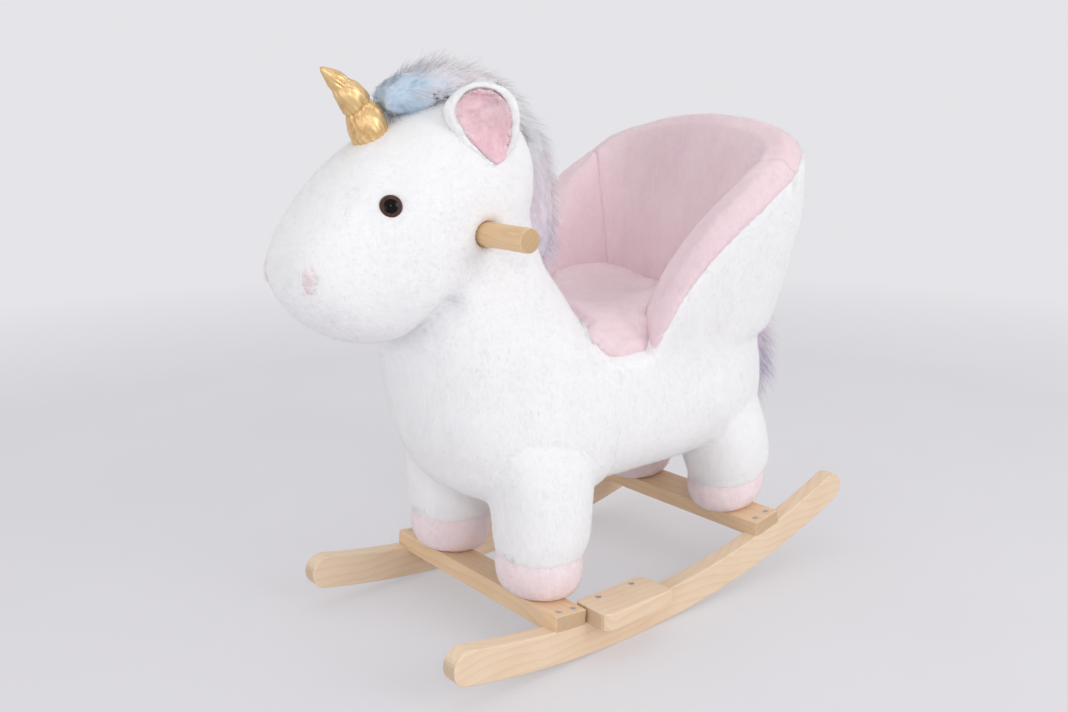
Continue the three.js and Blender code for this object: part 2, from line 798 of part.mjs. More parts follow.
function headSolid(grow) {
  return loft(head_shares.map(([along, top, bottom, half]) => {
    const y = muzzle_y + along * head_length + (2 * along - 1) * grow;
    const up = ((top - bottom) / 2) * head_length + grow;
    const centre = new THREE.Vector3(0, y, muzzle_height + ((top + bottom) / 2) * head_length);
    return roundRing(centre, axis_x, axis_z, half * head_width / 2 + grow, up, up, head_power, head_sides);
  }));
}

function hornSolid() {
  const foot = new THREE.Vector3(0, floor_line_y - horn_foot_ahead, horn_foot_height);
  const ahead = horn_tip_ahead - horn_foot_ahead;
  const rise = Math.sqrt(horn_length ** 2 - ahead ** 2);
  const along = new THREE.Vector3(0, -ahead, rise).normalize();
  const up = new THREE.Vector3().crossVectors(along, axis_x).normalize();
  const root = [-horn_root / horn_length, horn_shares[0][1]];
  return loft([root, ...horn_shares].map(([share, radius]) => {
    const bow = share > 0 ? horn_bow * Math.sin(Math.PI * share) : 0;
    const centre = foot.clone().addScaledVector(along, share * horn_length).addScaledVector(up, bow);
    const r = radius * horn_radius;
    return roundRing(centre, axis_x, up, r, r, r, 2, horn_sides);
  }));
}

// Frame of an ear: its foot, and the ways across, up and out of the hollow.
function earFrame(side) {
  const foot = new THREE.Vector3(side * ear_out, floor_line_y - ear_ahead, ear_foot_height);
  const out = new THREE.Vector3(side * Math.sin(ear_turn), -Math.cos(ear_turn), 0);
  const up = new THREE.Vector3(side * Math.sin(ear_splay), 0, Math.cos(ear_splay));
  const across = new THREE.Vector3().crossVectors(up, out).multiplyScalar(side).normalize();
  out.crossVectors(across, up).multiplyScalar(side).normalize();
  return { foot, across, up, out };
}

// A cupped leaf between two offsets from the ear's hollow face, drawn in towards its middle by a share.
function earLeaf(side, share, rise, near, far) {
  const { foot, across, up, out } = earFrame(side);
  return loft(ear_shares.map(([height, back, front]) => {
    const middle = (back + front) / 2;
    const half = ((back - front) / 2) * ear_width * share;
    const level = foot.clone()
      .addScaledVector(up, rise + height * ear_height * share)
      .addScaledVector(across, middle * ear_width);
    const depth = ear_cup * Math.min(1, (back - front) / ear_full_cup_share);
    const hollow = [];
    const behind = [];
    for (let k = 0; k <= ear_steps; k++) {
      const t = (2 * k) / ear_steps - 1;
      const bowl = -depth * (1 - (t * share) ** 2);
      const rim = Math.sqrt(1 - t ** 4);
      const at = (offset) => level.clone().addScaledVector(across, t * half).addScaledVector(out, bowl + offset);
      hollow.push(at(near));
      behind.unshift(at(near - (near - far) * (0.35 + 0.65 * rim)));
    }
    return [...hollow, ...behind];
  }));
}

function earSolid(side, grow) {
  return earLeaf(side, 1, 0, grow, -ear_thickness - grow);
}

function earLiningSolid(side) {
  return earLeaf(side, ear_lining_share, ear_lining_lift, gap + ear_lining_thickness, gap);
}

// Eye, whose stem runs into the head and holds a washer

function eyeFrame(side) {
  const place = new THREE.Vector3(side * eye_out, floor_line_y - eye_ahead, eye_height);
  const flat = Math.cos(eye_rise);
  const out = new THREE.Vector3(
    side * Math.sin(eye_turn) * flat, -Math.cos(eye_turn) * flat, Math.sin(eye_rise),
  );
  return { place, out };
}

function eyeSolid(side, grow) {
  const { place, out } = eyeFrame(side);
  const dome = [0.2, 0.4, 0.6, 0.8, 1].map((share) => {
    const angle = (share * Math.PI) / 2;
    return [(eye_radius + grow) * Math.cos(angle), eye_dome * Math.sin(angle) + grow];
  });
  const profile = [
    [0, -eye_stem_length - grow],
    [eye_stem_radius + grow, -eye_stem_length - grow],
    [eye_stem_radius + grow, -eye_rim - grow],
    [eye_radius + grow, -eye_rim - grow],
    [eye_radius + grow, grow],
    ...dome.slice(0, -1),
    [0, eye_dome + grow],
  ];
  return turned(profile, place, out, eye_sides);
}

function washerSolid(side, grow) {
  const { place, out } = eyeFrame(side);
  const low = -washer_seat - washer_thickness - grow;
  const high = -washer_seat + grow;
  const hole = eye_stem_radius + gap;
  const inner = grow > 0 ? 0 : hole;
  const profile = [[inner, low], [washer_radius + grow, low], [washer_radius + grow, high], [inner, high]];
  return turned(grow > 0 ? profile : [...profile, profile[0]], place, out, turned_sides);
}

function nostrilSolid(side, grow) {
  const out = new THREE.Vector3(side * Math.sin(nostril_turn), -Math.cos(nostril_turn), 0);
  const across = new THREE.Vector3().crossVectors(axis_z, out);
  const centre = new THREE.Vector3(side * nostril_out, floor_line_y - nostril_ahead, muzzle_height + nostril_rise);
  return loft([-1, -0.6, 0, 0.6, 1].map((share) => {
    const size = share * share === 1 ? 0.55 : Math.sqrt(1 - share * share * 0.5);
    const half = (nostril_width / 2) * size + grow;
    const tall = (nostril_height / 2) * size + grow;
    const level = centre.clone().addScaledVector(out, share * (nostril_thickness / 2 + grow));
    return roundRing(level, across, axis_z, half, tall, tall, 2, turned_sides);
  }));
}

// Mane and tail

function maneSolid() {
  const line = mane_shares.map(([ahead, up]) =>
    new THREE.Vector3(0, floor_line_y - ahead * head_length, up * neck_height));
  return loft(mane_shares.map(([, , width, thick], k) => {
    const before = line[Math.max(0, k - 1)];
    const after = line[Math.min(line.length - 1, k + 1)];
    const along = after.clone().sub(before).normalize();
    const up = new THREE.Vector3().crossVectors(along, axis_x).normalize();
    const half = thick * mane_half_thickness;
    return roundRing(line[k], axis_x, up, width * mane_half_width, half, half, 2.4, mane_sides);
  }));
}

function tailSolid() {
  const root = new THREE.Vector3(0, floor_line_y + rear_body_reach * tail_root_share, tail_root_height);
  const line = tail_shares.map(([out, down]) =>
    root.clone().add(new THREE.Vector3(0, out * tail_reach, -down * tail_drop)));
  return loft(tail_shares.map(([, , width], k) => {
    const before = line[Math.max(0, k - 1)];
    const after = line[Math.min(line.length - 1, k + 1)];
    const along = after.clone().sub(before).normalize();
    const up = new THREE.Vector3().crossVectors(along, axis_x).normalize();
    const half = width * tail_half_width;
    return roundRing(line[k], axis_x, up, half, half, half, 2, tail_sides);
  }));
}

// Legs and feet

function legPlace(end, side) {
  const front = end === "front";
  const slat = front ? front_slat : rear_slat;
  const out = front ? front_leg_out : rear_leg_out;
  const y = slat.y + (front ? front_leg_behind_slat : rear_leg_behind_slat);
  const lean = front ? front_leg_lean : rear_leg_lean;
  const top = front ? front_leg_top : rear_leg_top;
  const flare = front ? front_leg_flare : rear_leg_flare;
  const seam_tilt = front ? front_seam_tilt : rear_seam_tilt;
  const foot_top = slatTopAt(slat, y) + gap + (front ? front_foot_height : rear_foot_height);
  return { slat, out, x: side * out, y, lean, top, flare, seam_tilt, foot_top };
}

function legSolid(place) {
  const rise = place.top - place.foot_top - gap;
  return loft(leg_shares.map(([up, wide, deep]) => {
    const y = place.y + leg_behind_foot - place.lean * up;
    const centre = new THREE.Vector3(place.x, y, place.foot_top + gap + up * rise);
    const reach = (deep > 1 ? 1 + (deep - 1) * place.flare : deep) * leg_radius;
    const ring = roundRing(centre, axis_x, axis_y, wide * leg_radius, reach, reach, 2, limb_sides);
    const slope = Math.tan(place.seam_tilt) * (1 - up);
    return ring.map((p) => p.setZ(p.z + (p.y - place.y) * slope));
  }));
}

// The foot's sole lies along the tilted slat, and its top follows the leg's seam.
function footSolid(place) {
  return loft(foot_shares.map(([up, size]) => {
    const radius = size * foot_radius;
    const centre = new THREE.Vector3(place.x, place.y, 0);
    const ring = roundRing(centre, axis_x, axis_y, radius, radius, radius, 2, limb_sides);
    return ring.map((p) => {
      const sole = slatTopAt(place.slat, p.y) + gap;
      const seam = place.foot_top + (p.y - place.y) * Math.tan(place.seam_tilt);
      return p.setZ(sole + (seam - sole) * up);
    });
  }));
}

// Seat walls

// Where the wall's face stands at a height, between its inner face (0) and its outer face (1).
function wallFace(up, depth) {
  const half = readTable(wall_shares, up, 1) * depth + readTable(wall_shares, up, 3) * (1 - depth);
  const back = readTable(wall_shares, up, 2) * depth + readTable(wall_shares, up, 4) * (1 - depth);
  return { half: half * wall_half_width, back: back * wall_depth };
}

// Stations go round the seat from the right wall's front end to the left one's.
const side_stations = side_top_shares.map(([along, top]) => ({ along, turn: 0, top }));
const back_stations = back_top_shares.map(([turn, top]) => ({ along: 1, turn, top }));
const half_stations = [...side_stations, ...back_stations];
const wall_stations = [
  ...half_stations.map((s) => ({ ...s, side: -1 })),
  ...half_stations.slice(0, -1).reverse().map((s) => ({ ...s, side: 1 })),
];

function wallPoint(station, up, depth) {
  const { half, back } = wallFace(up, depth);
  const angle = (1 - station.turn) * (Math.PI / 2);
  const bent = 2 / wall_power;
  const x = station.side * half * Math.sin(angle) ** bent;
  const front = wall_front_behind + wall_front_slant * (1 - depth);
  const straight = front + station.along * (wall_turn_behind - front);
  const round = station.turn > 0 ? (back - wall_turn_behind) * Math.cos(angle) ** bent : 0;
  return new THREE.Vector3(x, floor_line_y + straight + round, seat_height + gap + up * wall_height);
}

// A section of the wall: one face up to the rounded top, over it to where the two fabrics meet, and down.
function wallRing(station, part) {
  const shoulder = station.top - wall_roll / wall_height;
  const wrap = lining_wrap + (lining_back_wrap - lining_wrap) * station.turn;
  const meet = (1 + Math.cos(wrap)) / 2;
  const slack = gap / 2 / (wall_half_width * (wall_shares[0][1] - wall_shares[0][3]));
  const outer = part === "outer";
  const push = outer ? slack : -slack;
  const level = Math.max(0, shoulder);
  const top = station.top - level;
  const face = [0, 0.33, 0.67, 1].map((s) => wallPoint(station, s * level, outer ? 1 : 0));
  const from = outer ? 0 : Math.PI;
  const roll = [0.33, 0.67].map((s) => from + (wrap - from) * s).map((angle) => {
    const p = wallPoint(station, level, (1 + Math.cos(angle)) / 2);
    return p.setZ(p.z + top * wall_height * Math.sin(angle));
  });
  const seam_top = wallPoint(station, level, meet + push);
  seam_top.z += top * wall_height * Math.sin(wrap);
  const foot = lining_split + push;
  const seam = [0.6, 0].map((s) => wallPoint(station, level * s, foot + (meet + push - foot) * s));
  return [...face, ...roll, seam_top, ...seam];
}

function wallSolid() {
  return loft(wall_stations.map((station) => wallRing(station, "outer")));
}

// The lining is sewn from two sides and a back, which meet a little way round each corner.
const corner_station = side_stations.length;
const last_station = wall_stations.length - 1;

// A lining panel, drawn back from its corner seams by half the gap.
function liningSolid(first, last) {
  const seams = [corner_station, last_station - corner_station];
  const middle = seams.includes(first) && seams.includes(last);
  const trim = (middle ? gap : -gap) / 2 / wall_depth;
  const stations = wall_stations.slice(first, last + 1).map((station, k) =>
    seams.includes(first + k) ? { ...station, turn: station.turn + trim } : station);
  return loft(stations.map((station) => wallRing(station, "inner")));
}

// Cushion

function cushionSolid() {
  const length = cushion_front_ahead + cushion_back_behind;
  const base = seat_height + gap;
  return loft(cushion_shares.map(([along, width, middle, edge]) => {
    const half = width * cushion_half_width;
    const y = floor_line_y - cushion_front_ahead + along * length;
    const side_top = edge * cushion_rise;
    const round = Math.min(cushion_edge_round, side_top / 2);
    const top = [];
    for (let k = 0; k <= cushion_steps; k++) {
      const t = (2 * k) / cushion_steps - 1;
      const bow = Math.abs(t) ** cushion_bow_power;
      const drop = Math.abs(t) === 1 ? round : 0;
      const rise = middle * cushion_rise + (side_top - middle * cushion_rise) * bow - drop;
      top.push(new THREE.Vector3(t * half, y, base + rise));
    }
    const foot = [1, 0.5, 0, -0.5, -1].map((t) => new THREE.Vector3(t * (half - round / 2), y, base));
    return [...top, ...foot];
  }));
}

// Materials
const finishes = {
  pine: new THREE.MeshStandardMaterial({ color: 0xe6c08c, roughness: 0.6 }),
  plywood: new THREE.MeshStandardMaterial({ color: 0xd9b98a, roughness: 0.7 }),
  steel: new THREE.MeshStandardMaterial({ color: 0xb9bcc0, roughness: 0.4, metalness: 0.9 }),
  white_plush: new THREE.MeshStandardMaterial({ color: 0xf2f2f4, roughness: 0.95 }),
  pink_plush: new THREE.MeshStandardMaterial({ color: 0xefc6d0, roughness: 0.95 }),
  gold_fabric: new THREE.MeshStandardMaterial({ color: 0xc99a4e, roughness: 0.4, metalness: 0.3 }),
  pastel_hair: new THREE.MeshStandardMaterial({ color: 0xcfc6e2, roughness: 0.9 }),
  eye_plastic: new THREE.MeshStandardMaterial({ color: 0x2a1a12, roughness: 0.1 }),
  washer_plastic: new THREE.MeshStandardMaterial({ color: 0xe8e8e8, roughness: 0.5 }),
};

const toy = new THREE.Group();
toy.name = "rocking_unicorn";

function add(name, solid, finish) {
  const mesh = new THREE.Mesh(geometryOf(solid), finish);
  mesh.name = name;
  toy.add(mesh);
}

// Wooden base
const slat_screws = slatScrews();
const footrest_screws = footrestScrews();
const limbs = ["front", "rear"].flatMap((end) =>
  sides.map(([name, side]) => ({ end, name, side, ...legPlace(end, side) })));

for (const [name, side] of sides) {
  const band = plate(rockerOutline(), side * (outer_face - board_thickness / 2), board_thickness);
  const cutters = [
    slatSolid(front_slat, gap),
    slatSolid(rear_slat, gap),
    footrestSolid(side, gap),
    ...[...slat_screws, ...footrest_screws].filter((s) => s.side === side).map((s) => screwSolid(s.place, s.up, gap)),
  ];
  add(`${name}_rocker`, cut(band, cutters), finishes.pine);
}

for (const [end, slat] of [["front", front_slat], ["rear", rear_slat]]) {
  const cutters = [
    ...slat_screws.filter((s) => s.slat === slat).map((s) => screwSolid(s.place, s.up, gap)),
    ...limbs.filter((l) => l.end === end).map((l) => boltSolid(slat, l.side, l.out, gap)),
  ];
  add(`${end}_slat`, cut(slatSolid(slat, 0), cutters), finishes.pine);
}

for (const [name, side] of sides) {
  const holes = footrest_screws.filter((s) => s.side === side).map((s) => screwSolid(s.place, s.up, gap));
  add(`${name}_footrest`, cut(footrestSolid(side, 0), holes), finishes.pine);
}

for (const screw of [...slat_screws, ...footrest_screws]) {
  add(screw.name, screwSolid(screw.place, screw.up, 0), finishes.steel);
}

// Inner frame and handle
for (const limb of limbs) {
  add(`${limb.end}_${limb.name}_leg_bolt`, boltSolid(limb.slat, limb.side, limb.out, 0), finishes.steel);
  const post = cut(postSolid(limb.slat, limb.side, limb.out, 0), [boltSolid(limb.slat, limb.side, limb.out, gap)]);
  add(`${limb.end}_${limb.name}_post`, post, finishes.pine);
}
add("seat_board", cut(seatBoardSolid(0), [neckPostSolid(gap)]), finishes.plywood);
add("neck_post", cut(neckPostSolid(0), [handleSolid(gap), handleScrewSolid(gap)]), finishes.pine);
add("back_board", backBoardSolid(0), finishes.plywood);
add("handle", cut(handleSolid(0), [handleScrewSolid(gap)]), finishes.pine);
add("handle_screw", handleScrewSolid(0), finishes.steel);

// Plush body
const posts = limbs.map((l) => postSolid(l.slat, l.side, l.out, gap));
const head_cutters = [
  neckPostSolid(gap),
  handleSolid(gap),
  ...sides.flatMap(([, side]) => [eyeSolid(side, gap), washerSolid(side, gap), nostrilSolid(side, gap)]),
];
add("head", cut(headSolid(0), head_cutters), finishes.white_plush);
const front_body_cutters = [
  seamSide(1), headSolid(gap), neckPostSolid(gap), seatBoardSolid(gap), handleSolid(gap), ...posts,
];
add("front_body", cut(frontBodySolid(0), front_body_cutters), finishes.white_plush);
const rear_body_cutters = [seamSide(-1), seatBoardSolid(gap), seatHollowSolid(), backBoardSolid(gap), ...posts];
add("rear_body", cut(rearBodySolid(), rear_body_cutters), finishes.white_plush);

const trunk = frontBodySolid(gap).add(headSolid(gap));
for (const limb of limbs) {
  const post = postSolid(limb.slat, limb.side, limb.out, gap);
  const bodies = limb.end === "front" ? frontBodySolid(gap) : rearBodySolid();
  add(`${limb.end}_${limb.name}_leg`, cut(legSolid(limb), [bodies, post]), finishes.white_plush);
  add(`${limb.end}_${limb.name}_foot`, cut(footSolid(limb), [post]), finishes.pink_plush);
}

// Seat
const back_board_pocket = backBoardSolid(gap);
const shell = cut(wallSolid(), [back_board_pocket, backHollowSolid()]);
add("seat_shell", shell, finishes.white_plush);
const linings = {
  right_lining: liningSolid(0, corner_station),
  back_lining: cut(liningSolid(corner_station, last_station - corner_station), [back_board_pocket]),
  left_lining: liningSolid(last_station - corner_station, last_station),
};
for (const [name, solid] of Object.entries(linings)) add(name, solid, finishes.pink_plush);
add("seat_cushion", cut(cushionSolid(), [frontBodySolid(gap), ...Object.values(linings)]), finishes.pink_plush);

// Head pieces
add("horn", cut(hornSolid(), [headSolid(gap)]), finishes.gold_fabric);
for (const [name, side] of sides) {
  add(`${name}_ear`, cut(earSolid(side, 0), [headSolid(gap)]), finishes.white_plush);
  add(`${name}_ear_lining`, largest(cut(earLiningSolid(side), [headSolid(gap), earSolid(side, gap)])), finishes.pink_plush);
  add(`${name}_eye`, eyeSolid(side, 0), finishes.eye_plastic);
  add(`${name}_eye_washer`, washerSolid(side, 0), finishes.washer_plastic);
  add(`${name}_nostril`, nostrilSolid(side, 0), finishes.pink_plush);
}
add("mane", cut(maneSolid(), [trunk, hornSolid()]), finishes.pastel_hair);
add("tail", cut(tailSolid(), [rearBodySolid(), wallSolid()]), finishes.pastel_hair);

export default toy;
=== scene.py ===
"""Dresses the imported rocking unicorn: plush, long hair, a gathered gold horn and a pine rocker frame.

Metres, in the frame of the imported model: +Z is up, the animal faces -Y and +X is its left side.
"""

import logging
import math
from dataclasses import dataclass
from enum import Enum
from functools import cache
from typing import Callable

import bmesh
import bpy
import numpy as np
from mathutils import Matrix, Vector
from mathutils.bvhtree import BVHTree
from mathutils.kdtree import KDTree


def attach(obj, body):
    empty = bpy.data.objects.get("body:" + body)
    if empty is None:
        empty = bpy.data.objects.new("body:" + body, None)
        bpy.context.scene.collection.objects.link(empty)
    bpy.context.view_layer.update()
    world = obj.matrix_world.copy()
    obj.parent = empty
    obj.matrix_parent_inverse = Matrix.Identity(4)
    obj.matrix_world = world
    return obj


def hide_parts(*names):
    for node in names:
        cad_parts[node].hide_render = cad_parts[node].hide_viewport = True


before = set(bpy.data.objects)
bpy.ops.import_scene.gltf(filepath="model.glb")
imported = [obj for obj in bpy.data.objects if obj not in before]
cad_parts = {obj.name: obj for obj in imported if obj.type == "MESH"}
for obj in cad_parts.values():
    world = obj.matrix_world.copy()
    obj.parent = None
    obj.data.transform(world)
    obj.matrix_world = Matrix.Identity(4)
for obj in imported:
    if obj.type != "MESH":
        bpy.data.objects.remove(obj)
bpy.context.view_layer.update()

log = logging.getLogger("rocking_unicorn")
MM = 0.001
BODY = "root"
SIDES = (("left", 1), ("right", -1))
ENDS = ("front", "rear")
CORNERS = tuple(f"{end}_{name}" for end in ENDS for name, _ in SIDES)
TRUNK = ("head", "front_body", "rear_body", "seat_shell")
HANDLE_AXIS = (-183 * MM, 455 * MM)
Array = np.ndarray
Colour = tuple[float, float, float, float]
Pair = tuple[float, float]
Triple = tuple[float, float, float]
Line = tuple[Pair, ...]
Names = tuple[str, ...]
Piece = bpy.types.Object
Pieces = tuple[Piece, ...]
Mesh = bpy.types.Mesh
Material = bpy.types.Material
Node = bpy.types.Node
Socket = bpy.types.NodeSocket
Tree = bpy.types.NodeTree
Keep = Callable[[Array], Array] | None


# Small helpers


def tone(red: int, green: int, blue: int) -> Colour:
    """Turns a colour as the eye sees it, 0 to 255, into the linear colour that a shader takes.

    Args:
        red: Red from 0 to 255.
        green: Green from 0 to 255.
        blue: Blue from 0 to 255.

    Returns:
        The linear colour with full alpha.
    """

    def linear(value: float) -> float:
        """One channel made linear."""
        share = value / 255
        return share / 12.92 if share <= 0.04045 else ((share + 0.055) / 1.055) ** 2.4

    return (linear(red), linear(green), linear(blue), 1.0)


def dimmed(colour: Colour, share: float) -> Colour:
    """A colour with a share of its light."""
    return tuple(share * c for c in colour[:3]) + (1.0,)


def unit(vectors: Array) -> Array:
    """Vectors, one a row, each made one long."""
    length = np.linalg.norm(vectors, axis=-1, keepdims=True)
    return vectors / np.maximum(length, 1e-12)


def lattice_noise(points: Array, seed: int) -> Array:
    """Smooth noise with features about one unit across.

    Args:
        points: Places, one a row.
        seed: Picks one of many noises.

    Returns:
        A value from -1 to 1 for each place.
    """
    cell = np.floor(points).astype(np.int64)
    part = points - cell
    fade = part * part * (3 - 2 * part)
    total = np.zeros(len(points))
    for corner in range(8):
        step = np.array([corner & 1, corner >> 1 & 1, corner >> 2 & 1])
        key = ((cell + step) * np.array([73856093, 19349663, 83492791])).sum(1)
        key = (key + seed * 2654435761) & 0x7FFFFFFF
        key = ((key ^ (key >> 13)) * 1274126177) & 0x7FFFFFFF
        key ^= key >> 16
        value = (key & 0xFFFF) / 0x7FFF - 1.0
        total += value * np.where(step == 1, fade, 1 - fade).prod(1)
    return total


def drift(points: Array, size: float, seed: int) -> Array:
    """Three noises as one vector a place, used to stir directions."""
    return np.stack([lattice_noise(points / size, seed + k) for k in range(3)], 1)


def smooth_line(points: Array, count: int) -> Array:
    """Runs one smooth line through a few points.

    Args:
        points: The points to pass through.
        count: How many points the line has.

    Returns:
        The line's points, evenly spaced by the points' order.
    """
    last = len(points) - 1
    at = np.linspace(0, last, count)
    k = np.minimum(at.astype(int), last - 1)
    t = (at - k)[:, None]
    p0, p1, p2, p3 = (points[np.clip(k + step, 0, last)] for step in (-1, 0, 1, 2))
    return 0.5 * (
        2 * p1 + (p2 - p0) * t + (2 * p0 - 5 * p1 + 4 * p2 - p3) * t**2 + (3 * p1 - p0 - 3 * p2 + p3) * t**3
    )


# Meshes held as arrays


def new_object(name: str, data: bpy.types.ID) -> Piece:
    """Puts a mesh, a camera or a lamp into the scene as a named object.

    Args:
        name: The object's name.
        data: Its mesh, camera or lamp.

    Returns:
        The object.
    """
    made = bpy.data.objects.new(name, data)
    bpy.context.scene.collection.objects.link(made)
    return made


def mesh_of(name: str, points: Array, faces: Array) -> Mesh:
    """Builds a mesh whose faces all have one number of corners.

    Args:
        name: The mesh's name.
        points: Its vertices, one a row.
        faces: Its faces' corners, one face a row.

    Returns:
        The mesh, shaded smooth.
    """
    mesh = bpy.data.meshes.new(name)
    mesh.vertices.add(len(points))
    mesh.vertices.foreach_set("co", points.astype(np.float32).ravel())
    mesh.loops.add(faces.size)
    mesh.loops.foreach_set("vertex_index", faces.astype(np.int32).ravel())
    mesh.polygons.add(len(faces))
    mesh.polygons.foreach_set("loop_start", np.arange(len(faces), dtype=np.int32) * faces.shape[1])
    mesh.polygons.foreach_set("use_smooth", np.ones(len(faces), bool))
    mesh.update(calc_edges=True)
    return mesh


def rows_of(data: bpy.types.bpy_prop_collection, key: str) -> Array:
    """Reads one vector of each vertex.

    Args:
        data: The vertices, or their normals.
        key: The vector's name there.

    Returns:
        The vectors, one a row.
    """
    flat = np.empty(len(data) * 3, np.float32)
    data.foreach_get(key, flat)
    return flat.reshape(-1, 3).astype(float)


def points_of(mesh: Mesh) -> Array:
    """A mesh's vertices, one a row."""
    return rows_of(mesh.vertices, "co")


def normals_of(mesh: Mesh) -> Array:
    """A mesh's vertex normals, one a row."""
    return rows_of(mesh.vertex_normals, "vector")


def set_points(mesh: Mesh, points: Array) -> None:
    """Moves a mesh's vertices to new places."""
    mesh.vertices.foreach_set("co", points.astype(np.float32).ravel())
    mesh.update()


def push_out(mesh: Mesh, rise: Array | float) -> None:
    """Moves a mesh's vertices along their normals."""
    set_points(mesh, points_of(mesh) + normals_of(mesh) * np.reshape(rise, (-1, 1)))


def within(points: Array, low: Array, high: Array) -> Array:
    """The numbers of the points that lie in a box."""
    return np.nonzero(((points > low) & (points < high)).all(1))[0]


def relax(mesh: Mesh, rounds: int) -> None:
    """Draws each vertex halfway to its neighbours' middle, a number of times, which smooths a form.

    Args:
        mesh: The mesh, changed in place.
        rounds: How many times.
    """
    points = points_of(mesh)
    edges = np.empty(len(mesh.edges) * 2, np.int32)
    mesh.edges.foreach_get("vertices", edges)
    edges = edges.reshape(-1, 2)
    count = np.maximum(np.bincount(edges.ravel(), minlength=len(points)), 1)
    for _ in range(rounds):
        for axis in range(3):
            total = np.bincount(edges[:, 0], points[edges[:, 1], axis], len(points))
            total += np.bincount(edges[:, 1], points[edges[:, 0], axis], len(points))
            points[:, axis] += 0.5 * (total / count - points[:, axis])
    set_points(mesh, points)


def bake_modifiers(made: Piece) -> None:
    """Turns an object's modifiers into its own mesh.

    Args:
        made: The object, changed in place.
    """
    graph = bpy.context.evaluated_depsgraph_get()
    graph.update()
    mesh = bpy.data.meshes.new_from_object(made.evaluated_get(graph))
    made.modifiers.clear()
    made.data = mesh


def puff(made: Piece, cap: float, frames: int = 20, pressure: float = 4.0) -> None:
    """Swells a cushion as cloth under pressure, and rounds it with one subdivision.

    Args:
        made: The cushion, changed in place.
        cap: The furthest that any point may move.
        frames: How long the cloth is given.
        pressure: What pushes it out.
    """
    scene = bpy.context.scene
    before = points_of(made.data)
    cloth = made.modifiers.new("puff", "CLOTH")
    cloth.settings.use_pressure = True
    cloth.settings.uniform_pressure_force = pressure
    cloth.settings.effector_weights.gravity = 0.0
    cloth.point_cache.frame_start, cloth.point_cache.frame_end = 1, frames
    for frame_number in range(1, frames + 1):
        scene.frame_set(frame_number)
    bake_modifiers(made)
    moved = points_of(made.data) - before
    length = np.linalg.norm(moved, axis=1, keepdims=True)
    set_points(made.data, before + moved * np.minimum(1, cap / np.maximum(length, 1e-9)))
    made.modifiers.new("round", "SUBSURF").levels = 1
    bake_modifiers(made)
    scene.frame_set(1)


def keep_largest(made: Piece) -> None:
    """Drops all but the largest joined run of faces.

    Args:
        made: The object, changed in place.
    """
    shape = bmesh.new()
    shape.from_mesh(made.data)
    seen: set[int] = set()
    best: list[bmesh.types.BMVert] = []
    for start in shape.verts:
        if start.index in seen:
            continue
        run, todo = [], [start]
        seen.add(start.index)
        while todo:
            vertex = todo.pop()
            run.append(vertex)
            for edge in vertex.link_edges:
                other = edge.other_vert(vertex)
                if other.index not in seen:
                    seen.add(other.index)
                    todo.append(other)
        if len(run) > len(best):
            best = run
    kept = set(best)
    bmesh.ops.delete(shape, geom=[v for v in shape.verts if v not in kept], context="VERTS")
    shape.to_mesh(made.data)
    shape.free()


def mesh_tree(meshes: list[Mesh]) -> BVHTree:
    """A search tree over the faces of some meshes.

    Args:
        meshes: The meshes.

    Returns:
        The tree.
    """
    shape = bmesh.new()
    for mesh in meshes:
        shape.from_mesh(mesh)
    tree = BVHTree.FromBMesh(shape)
    shape.free()
    return tree


def node_tree(*nodes: str) -> BVHTree:
    """A search tree over the solids with these names."""
    return mesh_tree([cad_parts[name].data for name in nodes])


def gap_to(points: Array, *nodes: str) -> Array:
    """How far each point is from the solids with these names."""
    tree = node_tree(*nodes)
    return np.array([tree.find_nearest(Vector(point))[3] for point in points])


def object_from(name: str, shape: bmesh.types.BMesh, closed: bool = True) -> Piece:
    """Turns a bmesh into an object.

    Args:
        name: The new piece's name.
        shape: The bmesh, which is freed.
        closed: Whether its faces are turned out and shaded smooth.

    Returns:
        The object.
    """
    if closed:
        bmesh.ops.recalc_face_normals(shape, faces=shape.faces)
        for face in shape.faces:
            face.smooth = True
    mesh = bpy.data.meshes.new(name)
    shape.to_mesh(mesh)
    shape.free()
    return new_object(name, mesh)


def inside(points: Array, made: Piece) -> Array:
    """Says which places lie in a closed piece.

    Args:
        points: The places, one a row.
        made: The piece.

    Returns:
        True for each place inside it.
    """
    form = points_of(made.data)
    found = np.zeros(len(points), bool)
    tree = mesh_tree([made.data])
    for k in within(points, form.min(0), form.max(0)):
        place, normal, _, _ = tree.find_nearest(Vector(points[k]))
        found[k] = place is not None and (Vector(points[k]) - place).dot(normal) < 0
    return found


# Shader nodes


